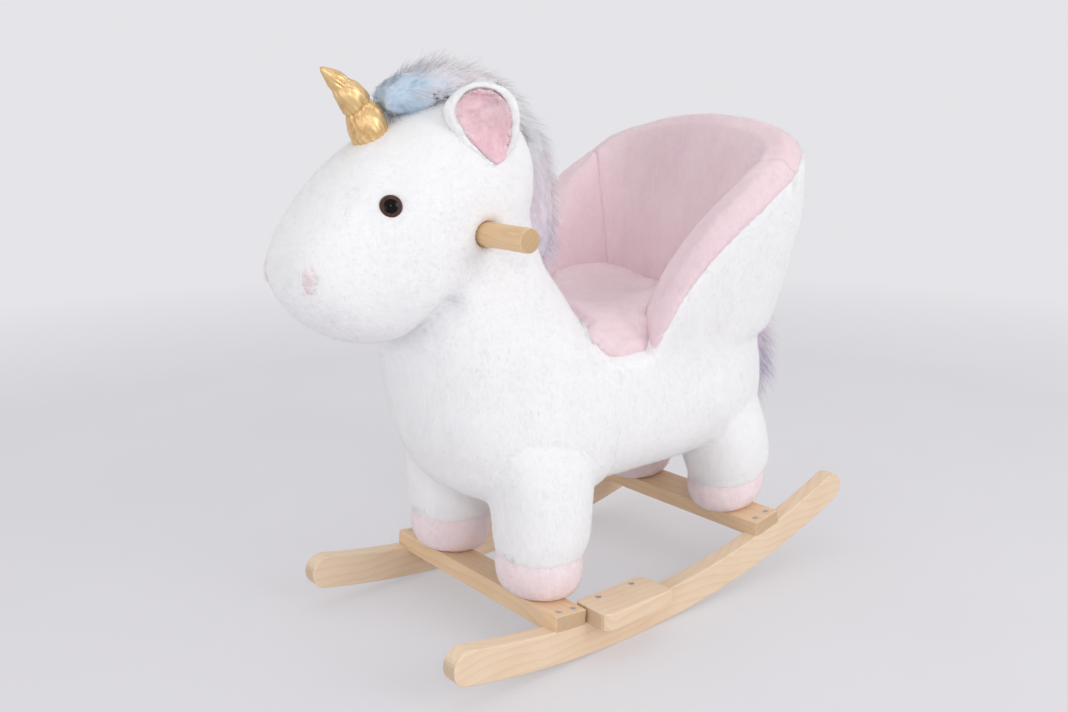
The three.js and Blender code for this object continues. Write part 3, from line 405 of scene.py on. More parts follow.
class Graph:
    """A node tree that is being wired."""

    def __init__(self, tree: Tree) -> None:
        """Starts on a tree."""
        self.tree = tree

    def add(self, kind: str, values: dict | None = None, **settings: object) -> Node:
        """Adds a node.

        Args:
            kind: The node's type, without the ShaderNode that it starts with.
            values: A value or another node's output for each named or numbered input.
            settings: The node's own settings.

        Returns:
            The node.
        """
        node = self.tree.nodes.new(kind if kind.startswith("Node") else "ShaderNode" + kind)
        for name, value in settings.items():
            setattr(node, name, value)
        return self.feed(node, values or {})

    def feed(self, node: Node, values: dict) -> Node:
        """Gives a node's named or numbered inputs a value or another node's output each.

        Args:
            node: The node.
            values: What each named or numbered input takes.

        Returns:
            The node.
        """
        for key, value in values.items():
            if isinstance(value, Socket):
                self.tree.links.new(value, node.inputs[key])
            else:
                node.inputs[key].default_value = value
        return node

    def maths(self, operation: str, first: object, second: object = 0.0) -> Socket:
        """The result of one sum of two values."""
        return self.add("Math", {0: first, 1: second}, operation=operation).outputs[0]

    def blend(self, share: object, first: object, second: object) -> Socket:
        """The colour between two colours at a share."""
        return self.feed(self.add("Mix", data_type="RGBA"), {0: share, 6: first, 7: second}).outputs[2]

    def ramp(self, value: object, low: float, high: float) -> Socket:
        """A value stretched so that low gives 0 and high gives 1."""
        return self.add("MapRange", {0: value, 1: low, 2: high, 3: 0.0, 4: 1.0}).outputs[0]

    def noise(self, where: object, scale: object, detail: float, **more: float) -> Socket:
        """A noise's value at each place."""
        values = {"Vector": where, "Scale": scale, "Detail": detail} | {k.capitalize(): v for k, v in more.items()}
        return self.add("TexNoise", values).outputs[0]

    def use(self, effect: "Effect", **values: object) -> Node:
        """Places a shared group with its own values."""
        return self.feed(self.add("Group", node_tree=group(effect)), values)

    def where(self) -> Socket:
        """The object's own coordinates."""
        return self.add("TexCoord").outputs["Object"]

    def sum(self, *terms: tuple[object, float]) -> Socket:
        """The sum of some values, each times its weight.

        Args:
            terms: Each value and its weight.

        Returns:
            The sum.
        """
        parts = [value if weight == 1 else self.maths("MULTIPLY", value, weight) for value, weight in terms]
        total = parts[0]
        for part in parts[1:]:
            total = self.maths("ADD", total, part)
        return total

    def bump(self, height: object, strength: float, distance: float) -> Socket:
        """The normal of a surface with a relief."""
        return self.add("Bump", {"Strength": strength, "Distance": distance, "Height": height}).outputs[0]

    def rise(self, value: object, weight: float, base: float) -> Socket:
        """A value times its weight, over a base."""
        return self.maths("ADD", self.maths("MULTIPLY", value, weight), base)


class Effect(Enum):
    """The shader groups that several finishes share."""

    NAP = "nap_mottle"
    GRAIN = "pine_grain"
    STRANDS = "strand_tint"
    WEAR = "soft_wear"


def group_of(effect: Effect, inputs: dict[str, object], outputs: dict[str, str]) -> tuple[Graph, object, Node]:
    """Starts a shader node group.

    Args:
        effect: What the group is.
        inputs: The default of each named input; a number, or a colour.
        outputs: The kind of each named output, Float, Color or Vector.

    Returns:
        The graph to wire, the sockets of its inputs and its output node.
    """
    tree = bpy.data.node_groups.new(effect.value, "ShaderNodeTree")
    for key, value in inputs.items():
        kind = "NodeSocketColor" if isinstance(value, tuple) else "NodeSocketFloat"
        socket = tree.interface.new_socket(key, in_out="INPUT", socket_type=kind)
        socket.default_value = value
    for key, kind in outputs.items():
        tree.interface.new_socket(key, in_out="OUTPUT", socket_type="NodeSocket" + kind)
    graph = Graph(tree)
    return graph, graph.add("NodeGroupInput").outputs, graph.add("NodeGroupOutput")


def nap_group() -> Tree:
    """Brushed pile: wide patches, small clumps and single fibres.

    Returns:
        The group.
    """
    graph, given, out = group_of(
        Effect.NAP,
        {"Light": (1.0, 1.0, 1.0, 1.0), "Shade": (0.8, 0.8, 0.8, 1.0), "Patch": 30.0, "Clump": 150.0,
         "Fibre": 900.0, "Contrast": 0.6},
        {"Color": "Color", "Height": "Float", "Roughness": "Float"},
    )
    stretched = graph.add("Mapping", {"Vector": graph.where(), "Scale": (1.0, 0.8, 0.45)}).outputs[0]
    patch = graph.noise(stretched, given["Patch"], 2.0, roughness=0.55, distortion=0.6)
    clump = graph.noise(stretched, given["Clump"], 3.0, roughness=0.6, distortion=0.9)
    fibre = graph.noise(stretched, given["Fibre"], 1.0)
    share = graph.ramp(graph.sum((patch, 0.5), (clump, 0.35), (fibre, 0.15)), 0.36, 0.64)
    share = graph.maths("MULTIPLY", share, given["Contrast"])
    graph.feed(out, {
        "Color": graph.blend(share, given["Light"], given["Shade"]),
        "Height": graph.sum((clump, 0.7), (fibre, 0.3)), "Roughness": graph.rise(patch, 0.12, 0.8),
    })
    return graph.tree


def grain_group() -> Tree:
    """Pine: growth rings drawn out along the board, fine fibres and a soft blotch.

    Returns:
        The group.
    """
    graph, given, out = group_of(
        Effect.GRAIN,
        {"Early": (0.8, 0.6, 0.4, 1.0), "Late": (0.6, 0.4, 0.2, 1.0), "Along": 0.0, "Rings": 60.0,
         "Contrast": 0.6},
        {"Color": "Color", "Height": "Float", "Roughness": "Float"},
    )
    turned = graph.add("VectorRotate", {"Vector": graph.where(), "Angle": given["Along"]},
                       rotation_type="Z_AXIS").outputs[0]
    bent = graph.add("TexNoise", {"Vector": turned, "Scale": 4.0, "Detail": 2.0}).outputs[1]
    bend = graph.add("VectorMath", {0: bent, 1: (0.05, 0.0, 0.05)}, operation="MULTIPLY").outputs[0]
    moved = graph.add("VectorMath", {0: turned, 1: bend}, operation="ADD").outputs[0]
    drawn = graph.add("Mapping", {"Vector": moved, "Scale": (1.0, 0.03, 1.0)}).outputs[0]
    rings = graph.add(
        "TexWave",
        {"Vector": drawn, "Scale": given["Rings"], "Distortion": 3.0, "Detail": 2.0, "Detail Scale": 1.2},
        wave_type="BANDS", bands_direction="DIAGONAL", wave_profile="SAW",
    ).outputs[1]
    fine = graph.add("Mapping", {"Vector": turned, "Scale": (1.0, 0.025, 1.0)}).outputs[0]
    fibre = graph.noise(fine, 1500.0, 2.0)
    blotch = graph.noise(turned, 12.0, 2.0)
    dark = graph.sum((graph.maths("POWER", rings, 3.0), 0.5), (graph.ramp(fibre, 0.45, 0.75), 0.25),
                     (graph.ramp(blotch, 0.4, 0.75), 0.45))
    share = graph.maths("MINIMUM", graph.maths("MULTIPLY", dark, given["Contrast"]), 1.0)
    graph.feed(out, {
        "Color": graph.blend(share, given["Early"], given["Late"]),
        "Height": graph.sum((fibre, 0.4), (rings, 0.3)), "Roughness": graph.rise(fibre, 0.25, 0.4),
    })
    return graph.tree


def strands_group() -> Tree:
    """Long hair: one tint drifting into another, and lighter and darker strands.

    Returns:
        The group.
    """
    graph, given, out = group_of(
        Effect.STRANDS,
        {"First": (0.7, 0.7, 0.9, 1.0), "Second": (0.9, 0.8, 0.9, 1.0), "Patch": 25.0, "Fine": 600.0},
        {"Color": "Color", "Roughness": "Float"},
    )
    where = graph.where()
    patch = graph.noise(where, given["Patch"], 2.0)
    fine = graph.noise(where, given["Fine"], 1.0)
    share = graph.ramp(graph.sum((patch, 0.7), (fine, 0.3)), 0.36, 0.64)
    graph.feed(out, {
        "Color": graph.blend(share, given["First"], given["Second"]),
        "Roughness": graph.rise(fine, 0.25, 0.4),
    })
    return graph.tree


def wear_group() -> Tree:
    """Faint handling marks, used on wood, metal and plastic.

    Returns:
        The group.
    """
    graph, given, out = group_of(
        Effect.WEAR,
        {"Base": (0.8, 0.8, 0.8, 1.0), "Worn": (0.7, 0.7, 0.7, 1.0), "Scale": 60.0, "Amount": 0.3,
         "Roughness": 0.4},
        {"Color": "Color", "Roughness": "Float"},
    )
    marks = graph.noise(graph.where(), given["Scale"], 4.0, roughness=0.65)
    share = graph.maths("MULTIPLY", graph.ramp(marks, 0.5, 0.72), given["Amount"])
    graph.feed(out, {
        "Color": graph.blend(share, given["Base"], given["Worn"]),
        "Roughness": graph.sum((given["Roughness"], 1), (share, 0.3)),
    })
    return graph.tree


@cache
def group(effect: Effect) -> Tree:
    """The group of an effect, built at its first use."""
    makers = {Effect.NAP: nap_group, Effect.GRAIN: grain_group, Effect.STRANDS: strands_group, Effect.WEAR: wear_group}
    return makers[effect]()


def start_material(name: str) -> tuple[Material, Graph, Node]:
    """Makes a material with one Principled shader.

    Args:
        name: The material's name.

    Returns:
        The material, its graph and its shader node.
    """
    made = bpy.data.materials.new(name)
    made.use_nodes = True
    made.node_tree.nodes.clear()
    graph = Graph(made.node_tree)
    shader = graph.add("BsdfPrincipled")
    graph.add("OutputMaterial", {0: shader.outputs[0]})
    return made, graph, shader


def surface(effect: Node) -> dict[str, object]:
    """What a shared effect gives to the shader."""
    return {"Base Color": effect.outputs["Color"], "Roughness": effect.outputs["Roughness"]}


@dataclass(frozen=True)
class Finish:
    """What a piece's surface is."""

    name: str

    def make(self) -> Material:
        """Builds the material.

        Returns:
            The material.
        """
        made, graph, shader = start_material(self.name)
        graph.feed(shader, self.inputs(graph))
        return made

    def inputs(self, graph: Graph) -> dict[str, object]:
        """Adds the finish's nodes and says what the shader's inputs take."""
        raise NotImplementedError


@dataclass(frozen=True)
class PlushFinish(Finish):
    """Brushed pile fabric."""

    light: Colour
    shade: Colour
    patch: float = 30.0
    clump: float = 150.0
    fibre: float = 900.0
    contrast: float = 0.6
    bump: float = 0.6
    depth: float = 1.5 * MM
    sheen: float = 0.25

    def inputs(self, graph: Graph) -> dict[str, object]:
        """Mottled nap with a soft relief and a sheen.

        Args:
            graph: The material's graph.

        Returns:
            The value or the output that each named input takes.
        """
        nap = graph.use(Effect.NAP, Light=self.light, Shade=self.shade, Patch=self.patch, Clump=self.clump,
                        Fibre=self.fibre, Contrast=self.contrast)
        return surface(nap) | {
            "Normal": graph.bump(nap.outputs["Height"], self.bump, self.depth), "Sheen Weight": self.sheen,
            "Sheen Roughness": 0.5, "Specular IOR Level": 0.15,
        }


@dataclass(frozen=True)
class HairFinish(Finish):
    """Strands of hair or pile in two mixed tints."""

    first: Colour
    second: Colour
    patch: float = 25.0
    fine: float = 600.0
    sheen: float = 0.2
    shine: float = 0.3

    def inputs(self, graph: Graph) -> dict[str, object]:
        """Mixed tints with a sheen.

        Args:
            graph: The material's graph.

        Returns:
            The value or the output that each named input takes.
        """
        tint = graph.use(Effect.STRANDS, First=self.first, Second=self.second, Patch=self.patch, Fine=self.fine)
        return surface(tint) | {"Sheen Weight": self.sheen, "Specular IOR Level": self.shine}


@dataclass(frozen=True)
class BandFinish(Finish):
    """Matted hair whose tints follow one another round a point, as the locks above it do."""

    hub: Pair
    tints: tuple[tuple[float, Colour], ...]

    def inputs(self, graph: Graph) -> dict[str, object]:
        """The tints on a colour ramp over the angle round the hub.

        Args:
            graph: The material's graph.

        Returns:
            The value or the output that each named input takes.
        """
        low, high = -math.pi / 2, math.pi
        where = graph.where()
        apart = graph.add("VectorMath", {0: where, 1: (0.0, *self.hub)}, operation="SUBTRACT").outputs[0]
        parts = graph.add("SeparateXYZ", {0: apart}).outputs
        angle = graph.maths("ARCTAN2", parts["Z"], parts["Y"])
        angle = graph.sum((angle, 1), (graph.noise(where, 90.0, 2.0), 0.5))
        ramp = graph.add("ValToRGB", {0: graph.ramp(angle, low, high)})
        points = ramp.color_ramp.elements
        for k, (turn, colour) in enumerate(self.tints):
            point = points[k] if k < 2 else points.new(1.0)
            point.position = (math.radians(turn) - low) / (high - low)
            point.color = colour
        marks = graph.use(Effect.WEAR, Roughness=0.7, Amount=0.3, Scale=200.0)
        return surface(marks) | {"Base Color": ramp.outputs[0], "Sheen Weight": 0.2, "Specular IOR Level": 0.1}


@dataclass(frozen=True)
class WoodFinish(Finish):
    """Clear-varnished pine or plain plywood."""

    early: Colour
    late: Colour
    along: float = 0.0
    rings: float = 60.0
    contrast: float = 0.7
    coat: float = 0.12
    end_grain: float = 0.45

    def inputs(self, graph: Graph) -> dict[str, object]:
        """Grain along the board, and darker where its ends are cut.

        Args:
            graph: The material's graph.

        Returns:
            The value or the output that each named input takes.
        """
        grain = graph.use(Effect.GRAIN, Early=self.early, Late=self.late, Along=self.along, Rings=self.rings,
                          Contrast=self.contrast)
        fibres = (math.sin(self.along), math.cos(self.along), 0.0)
        normal = graph.add("NewGeometry").outputs["True Normal"]
        across = graph.add("VectorMath", {0: normal, 1: fibres}, operation="DOT_PRODUCT").outputs["Value"]
        ends = graph.maths("MULTIPLY", graph.ramp(graph.maths("ABSOLUTE", across), 0.8, 0.97), self.end_grain)
        return surface(grain) | {
            "Base Color": graph.blend(ends, grain.outputs["Color"], dimmed(self.late, 0.55)),
            "Normal": graph.bump(grain.outputs["Height"], 0.25, 0.3 * MM), "Coat Weight": self.coat,
            "Coat Roughness": 0.35,
        }


@dataclass(frozen=True)
class SolidFinish(Finish):
    """Steel or moulded plastic with faint handling marks."""

    base: Colour
    worn: Colour
    metallic: float = 0.0
    roughness: float = 0.35

    def inputs(self, graph: Graph) -> dict[str, object]:
        """One plain colour, a little worn.

        Args:
            graph: The material's graph.

        Returns:
            The value or the output that each named input takes.
        """
        marks = graph.use(Effect.WEAR, Base=self.base, Worn=self.worn, Scale=400.0, Amount=0.5,
                          Roughness=self.roughness)
        return surface(marks) | {"Metallic": self.metallic}


@dataclass(frozen=True)
class FoilFinish(Finish):
    """Gold foil fabric: a fine knit that shows through a bright skin."""

    bright: Colour
    deep: Colour

    def inputs(self, graph: Graph) -> dict[str, object]:
        """Worn foil over the knit's relief.

        Args:
            graph: The material's graph.

        Returns:
            The value or the output that each named input takes.
        """
        knit = graph.add("TexVoronoi", {"Vector": graph.where(), "Scale": 1100.0}).outputs["Distance"]
        marks = graph.use(Effect.WEAR, Base=self.bright, Worn=self.deep, Scale=90.0, Amount=0.75, Roughness=0.36)
        return surface(marks) | {"Normal": graph.bump(knit, 0.25, 0.2 * MM), "Metallic": 0.85}


@dataclass(frozen=True)
class EyeFinish(Finish):
    """A toy eye: a black pupil in a brown ring, under a clear gloss."""

    middle: Vector
    pupil: float
    edge: float

    def inputs(self, graph: Graph) -> dict[str, object]:
        """The pupil, the streaked ring and its dark edge, by the distance from the middle.

        Args:
            graph: The material's graph.

        Returns:
            The value or the output that each named input takes.
        """
        where = graph.where()
        away = graph.add("VectorMath", {0: where, 1: tuple(self.middle)}, operation="DISTANCE").outputs["Value"]
        streaks = graph.ramp(graph.noise(where, 900.0, 2.0), 0.35, 0.65)
        ring = graph.blend(streaks, tone(92, 66, 55), tone(58, 40, 33))
        colour = graph.blend(graph.ramp(away, self.pupil, self.pupil * 1.08), tone(8, 7, 8), ring)
        colour = graph.blend(graph.ramp(away, self.edge, self.edge * 1.05), colour, tone(40, 32, 30))
        marks = graph.use(Effect.WEAR, Roughness=0.08, Amount=0.2, Scale=300.0)
        return surface(marks) | {"Base Color": colour, "Specular IOR Level": 0.16}


# Cloth and fibres


@dataclass
class SoftForm:
    """A stuffed form, made anew from the solids that it stands for."""

    name: str
    nodes: Names
    voxel: float = 3 * MM
    rounds: int = 24
    swell: float = 1 * MM
    lumps: float = 1.2 * MM
    lump_size: float = 40 * MM
    tufts: float = 0.6 * MM
    tuft_size: float = 7 * MM
    seed: int = 1
    filler: Names = ()
    added: Pieces = ()
    puffed: float = 0.0

    def make(self) -> Piece:
        """Builds the form.

        Returns:
            The object, not yet dressed.
        """
        shape = bmesh.new()
        for node in (*self.nodes, *self.filler):
            shape.from_mesh(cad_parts[node].data)
        for piece in self.added:
            shape.from_mesh(piece.data)
            bpy.data.objects.remove(piece)
        made = object_from(self.name, shape, closed=False)
        even = made.modifiers.new("even", "REMESH")
        even.mode = "VOXEL"
        even.voxel_size = self.voxel
        even.use_smooth_shade = True
        bake_modifiers(made)
        keep_largest(made)
        relax(made.data, self.rounds)
        if self.puffed:
            puff(made, self.puffed)
        push_out(made.data, self.swell)
        return made

    def stuff(self, made: Piece) -> None:
        """Gives the skin the soft lumps of stuffing and the tufts of its pile.

        Args:
            made: The form, changed in place.
        """
        points = points_of(made.data)
        rise = self.lumps * lattice_noise(points / self.lump_size, self.seed)
        brushed = points * np.array([1.0, 0.8, 0.5])
        rise += self.tufts * lattice_noise(brushed / self.tuft_size, self.seed + 1)
        rise += 0.5 * self.tufts * lattice_noise(brushed / (0.45 * self.tuft_size), self.seed + 2)
        push_out(made.data, rise)


def seam_between(node: str, other: str, touch: float = 0.8 * MM, step: float = 2 * MM) -> Array:
    """Finds the line along which one CAD solid's skin runs into its neighbour's.

    Args:
        node: The solid that is cut to fit.
        other: The solid that it fits against.
        touch: How near its faces lie where they fit.
        step: How far apart the line's points are.

    Returns:
        Points along the line.
    """
    tree = node_tree(other)
    shape = bmesh.new()
    shape.from_mesh(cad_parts[node].data)
    bmesh.ops.remove_doubles(shape, verts=shape.verts, dist=0.01 * MM)
    touching = {v: tree.find_nearest(v.co, touch)[0] is not None for v in shape.verts}
    line = []
    for edge in shape.edges:
        inner = [all(touching[v] for v in face.verts) for face in edge.link_faces]
        if len(inner) == 2 and inner[0] != inner[1]:
            start, end = (np.array(v.co) for v in edge.verts)
            count = max(2, int(np.linalg.norm(end - start) / step))
            line.append(start + (end - start) * np.linspace(0, 1, count)[:, None])
    shape.free()
    return np.concatenate(line) if line else np.zeros((0, 3))


DEEPEST = 0.4  # of the way to the skin's other side


def tuck(mesh: Mesh, parts: Names, covers: Names, depth: float, reach: float) -> None:
    """Sinks a skin where other pieces cover it, less where the skin's other side is near.

    Args:
        mesh: The skin, changed in place.
        parts: The solids that the skin stands for.
        covers: The solids of the pieces that cover it.
        depth: How far it sinks well under them.
        reach: How far under them it takes to sink.
    """
    points, normals = points_of(mesh), normals_of(mesh)
    share = np.clip((gap_to(points, *parts) - gap_to(points, *covers)) / reach, 0, 1)
    sunk = depth * share * share * (3 - 2 * share)
    skin = mesh_tree([mesh])
    for k in np.nonzero(sunk > 0)[0]:
        room = skin.ray_cast(Vector(points[k] - normals[k] * 0.5 * MM), Vector(-normals[k]))[3]
        if room is not None:
            sunk[k] = min(sunk[k], DEEPEST * room)
    push_out(mesh, -sunk)


def beside(points: Array, line: Array, reach: float, low: float = -1.0) -> Array:
    """Which points lie near a line.

    Args:
        points: The points to try.
        line: Points along the line.
        reach: How near they have to be.
        low: How high over the line's nearest point they have to be.

    Returns:
        True for each point that does.
    """
    tree = KDTree(len(line))
    for k, place in enumerate(line):
        tree.insert(place, k)
    tree.balance()
    found = [tree.find(point) for point in points]
    return np.array([away < reach and point[2] > near[2] + low for point, (near, _, away) in zip(points, found)])


def groove(mesh: Mesh, line: Array, depth: float, width: float) -> None:
    """Presses a seam into a skin along a line.

    Args:
        mesh: The skin, changed in place.
        line: Points close together along the seam.
        depth: How far the seam sinks.
        width: How far to each side it draws the skin in.
    """
    points = points_of(mesh)
    near = within(points, line.min(0) - 3 * width, line.max(0) + 3 * width)
    if not len(near):
        return
    away = np.full(len(near), 1e9)
    for start in range(0, len(line), 64):
        part = line[start:start + 64]
        away = np.minimum(away, np.linalg.norm(points[near, None] - part[None], axis=2).min(1))
    points[near] -= normals_of(mesh)[near] * (depth * np.exp(-((away / width) ** 2)))[:, None]
    set_points(mesh, points)


def sow(
    skin: Piece, density: float, rng: np.random.Generator, keep: Keep = None, hidden_by: Pieces = (),
    reach: float = 0.0,
) -> tuple[Array, Array]:
    """Scatters places over a skin.

    Args:
        skin: The skin.
        density: Places to a square metre.
        rng: Picks the places.
        keep: Says for each place whether any fall there.
        hidden_by: Pieces that cover the skin, under which none fall.
        reach: How far over the skin a place has to be clear.

    Returns:
        The places and the skin's normals there.
    """
    mesh = skin.data
    mesh.calc_loop_triangles()
    corners = np.empty(len(mesh.loop_triangles) * 3, np.int32)
    mesh.loop_triangles.foreach_get("vertices", corners)
    corners = corners.reshape(-1, 3)
    points, normals = points_of(mesh), normals_of(mesh)
    a, b, c = (points[corners[:, k]] for k in range(3))
    area = np.linalg.norm(np.cross(b - a, c - a), axis=1) / 2
    if keep is not None:
        area = area * keep((a + b + c) / 3)
    count = int(area.sum() * density * (1.0))
    pick = np.searchsorted(np.cumsum(area) / area.sum(), rng.random(count))
    pick = np.minimum(pick, len(area) - 1)
    u, v = rng.random(count), rng.random(count)
    over = u + v > 1
    u[over], v[over] = 1 - u[over], 1 - v[over]
    root = a[pick] + (b - a)[pick] * u[:, None] + (c - a)[pick] * v[:, None]
    tri = normals[corners[pick]]
    up = unit(tri[:, 0] * (1 - u - v)[:, None] + tri[:, 1] * u[:, None] + tri[:, 2] * v[:, None])
    shown = np.ones(count, bool)
    for cover in hidden_by:
        shown &= ~inside(root + up * reach, cover)
    return root[shown], up[shown]


@dataclass(frozen=True)
class Pile:
    """Short brushed fibres on a skin."""

    length: float = 4.2 * MM
    width: float = 0.09 * MM
    density: float = 220000.0
    lean: float = 2.5
    scatter: float = 0.16
    swirl: float = 14 * MM
    round: float = 0.08
    lit: float = 0.0  # how far its shading turns to the toy's side, front and top

    def grow(
        self, name: str, skin: Piece, nap: Array, seed: int, keep: Keep = None, hidden_by: Pieces = (),
    ) -> Piece:
        """Grows fibres on a skin.

        Args:
            name: The new piece's name.
            skin: What they grow on.
            nap: The way they are brushed.
            seed: Picks their places.
            keep: Says for each place whether fibres grow there.
            hidden_by: Pieces that cover the skin, under which none grow.

        Returns:
            The fibres as one object.
        """
        rng = np.random.default_rng(seed)
        root, up = sow(skin, self.density, rng, keep, hidden_by, 0.5 * self.length)
        along = np.broadcast_to(nap, root.shape) + self.scatter * 1.6 * drift(root, self.swirl, seed)
        along = along + 0.5 * self.scatter * drift(root, 4 * self.swirl, seed + 9)
        along = unit(along - up * (along * up).sum(1, keepdims=True))
        way = unit(up + along * self.lean + rng.normal(size=root.shape) * 0.3)
        low = (way * up).sum(1, keepdims=True) < 0.15
        way = np.where(low, unit(way + 0.4 * up), way)
        tall = self.length * (0.7 + 0.6 * rng.random(len(root)))
        tall *= 1 + 0.1 * lattice_noise(root / self.swirl, seed + 5)
        return self.build(name, root, way, up, tall)

    def build(self, name: str, root: Array, way: Array, up: Array, tall: Array) -> Piece:
        """Makes a flat pointed spike of four faces for each fibre, its ridge away from the skin.

        Args:
            name: The new piece's name.
            root: Where each fibre starts.
            way: Where each fibre points.
            up: The skin's normal at each fibre.
            tall: Each fibre's length.

        Returns:
            The fibres as one object.
        """
        ridge = unit(up - way * (up * way).sum(1, keepdims=True))
        side = np.cross(way, ridge)
        foot = root - up * 0.6 * MM
        ring = [foot + self.width * (a * side + b * ridge) for a, b in ((-1, 0), (0, 0.5), (1, 0))]
        points = np.stack([*ring, root + way * tall[:, None]], 1)
        out = np.stack([*[(r - foot) / self.width for r in ring], way], 1)
        aside = np.stack([np.sign(root[:, 0]), np.full(len(root), -0.3), np.full(len(root), 0.4)], 1)
        soft = unit(np.repeat((up + self.lit * aside)[:, None], 4, 1) + self.round * out)
        return alike(name, points, np.array([[0, 1, 3], [1, 2, 3], [2, 0, 3], [2, 1, 0]]), soft)


def alike(name: str, points: Array, faces: Array, soft: Array) -> Piece:
    """Makes one object of many fibres that have the same faces.

    Args:
        name: The new piece's name.
        points: Fibres by vertices by three.
        faces: One fibre's triangles.
        soft: The normals that it is shaded by, as the points.

    Returns:
        The fibres as one object.
    """
    count, size, _ = points.shape
    walls = (faces[None] + size * np.arange(count)[:, None, None]).reshape(-1, 3)
    mesh = mesh_of(name, points.reshape(-1, 3), walls)
    lay_map(mesh, count, faces.size)
    mesh.normals_split_custom_set_from_vertices(soft.reshape(-1, 3))
    return new_object(name, mesh)


def lay_map(mesh: Mesh, count: int, corners: int) -> None:
    """Gives each of many alike strands its own square of the map that a bake uses.

    Args:
        mesh: The mesh, whose faces come strand by strand.
        count: How many strands it has.
        corners: How many face corners each strand has.
    """
    side = math.ceil(math.sqrt(count))
    cell = 1 / side
    k = np.arange(count)
    base = np.stack([(k % side) * cell, (k // side) * cell], 1)
    pattern = np.array([[0.1, 0.1], [0.9, 0.1], [0.5, 0.9], [0.1, 0.9]])
    local = pattern[np.arange(corners) % 3] * cell
    uv = (base[:, None] + local[None]).reshape(-1, 2)
    layer = mesh.uv_layers.new(name="OFBake")
    layer.uv.foreach_set("vector", uv.astype(np.float32).ravel())


def strands(name: str, paths: Array, up: Array, width: float, rng: np.random.Generator) -> Piece:
    """Makes a thin tapering tube along each of many paths.

    Args:
        name: The new piece's name.
        paths: Strands by points by three.
        up: The way out of the form that each strand grows on.
        width: A strand's radius at its root.
        rng: Varies the widths.

    Returns:
        The strands as one object.
    """
    count, steps, _ = paths.shape
    along = unit(np.gradient(paths, axis=1))
    side = unit(np.cross(along, rng.normal(size=(count, 1, 3))))
    other = np.cross(along, side)
    taper = np.interp(np.linspace(0, 1, steps), [0, 0.35, 0.75, 1], [0.8, 1, 0.6, 0.1])
    radius = width * taper[None, :, None] * (0.7 + 0.6 * rng.random((count, 1, 1)))
    outs = [math.cos(t) * side + math.sin(t) * other for t in (0, 2 * math.pi / 3, 4 * math.pi / 3)]
    points = np.stack([paths + radius * out for out in outs], 2)
    walls = []
    for s in range(steps - 1):
        for k in range(3):
            a, b = 3 * s + k, 3 * s + (k + 1) % 3
            walls += [[a, b, b + 3], [a, b + 3, a + 3]]
    top = 3 * (steps - 1)
    walls += [[2, 1, 0], [top, top + 1, top + 2]]
    soft = unit(np.stack(outs, 2) * 0.2 + up[:, None, None, :])
    return alike(name, points.reshape(count, -1, 3), np.array(walls), soft)


# Turned and sawn pieces


def lofted(name: str, rings: Array) -> Piece:
    """Closes a row of rings into one form.

    Args:
        name: The new piece's name.
        rings: Rings by points by three.

    Returns:
        The object.
    """
    rows, count, _ = rings.shape
    points = np.concatenate([rings.reshape(-1, 3), rings[:1].mean(1), rings[-1:].mean(1)])
    shape = bmesh.new()
    verts = [shape.verts.new(p) for p in points]
    for r in range(rows - 1):
        for k in range(count):
            a, b = r * count + k, r * count + (k + 1) % count
            shape.faces.new((verts[a], verts[b], verts[b + count], verts[a + count]))
    for k in range(count):
        nxt = (k + 1) % count
        shape.faces.new((verts[rows * count], verts[nxt], verts[k]))
        shape.faces.new((verts[rows * count + 1], verts[(rows - 1) * count + k], verts[(rows - 1) * count + nxt]))
    return object_from(name, shape)


def block(name: str, rings: Array) -> Piece:
    """A sawn board through a row of rings, with a flat face at each end.

    Args:
        name: The new piece's name.
        rings: Rings by points by three.

    Returns:
        The object.
    """
    shape = bmesh.new()
    rows = [[shape.verts.new(point) for point in ring] for ring in rings]
    shape.faces.new(rows[0])
    shape.faces.new(rows[-1][::-1])
    for first, second in zip(rows, rows[1:]):
        for k in range(len(first)):
            nxt = (k + 1) % len(first)
            shape.faces.new((first[k], second[k], second[nxt], first[nxt]))
    return object_from(name, shape)


def bevel_edges(made: Piece, radius: float, segments: int = 3) -> None:
    """Rounds a board's sharp edges.

    Args:
        made: The board, changed in place.
        radius: The rounds' width.
        segments: How many faces a round has.
    """
    bevel = made.modifiers.new("edges", "BEVEL")
    bevel.width = radius
    bevel.segments = segments
    bevel.limit_method = "ANGLE"
    bevel.angle_limit = math.radians(32)
    bake_modifiers(made)


def even_shading(made: Piece) -> None:
    """Shades a board's flat faces flat and its rounds smooth.

    Args:
        made: The board, changed in place.
    """
    made.data.set_sharp_from_angle(angle=math.radians(50))
    even = made.modifiers.new("even", "WEIGHTED_NORMAL")
    even.keep_sharp = True
    bake_modifiers(made)


def cut_out(made: Piece, cutters: list[Piece]) -> None:
    """Takes cutters away from a piece and removes them.

    Args:
        made: The piece, changed in place.
        cutters: What is taken away.
    """
    for cutter in cutters:
        step = made.modifiers.new("cut", "BOOLEAN")
        step.operation = "DIFFERENCE"
        step.solver = "EXACT"
        step.object = cutter
        bake_modifiers(made)
        bpy.data.objects.remove(cutter)


def turned(name: str, profile: list[Pair], start: Vector, way: Vector, count: int) -> Piece:
    """Turns a profile about an axis.

    Args:
        name: The new piece's name.
        profile: Radius and height pairs along the axis.
        start: The axis's start.
        way: The axis's direction.
        count: Points round the axis.

    Returns:
        The object.
    """
    turn = np.array(way.to_track_quat("Z", "Y").to_matrix())
    angle = np.linspace(0, 2 * math.pi, count, endpoint=False)
    rings = []
    for radius, height in profile:
        flat = np.stack([radius * np.cos(angle), radius * np.sin(angle), np.full(count, height)], 1)
        rings.append(flat @ turn.T + np.array(start))
    return lofted(name, np.array(rings))


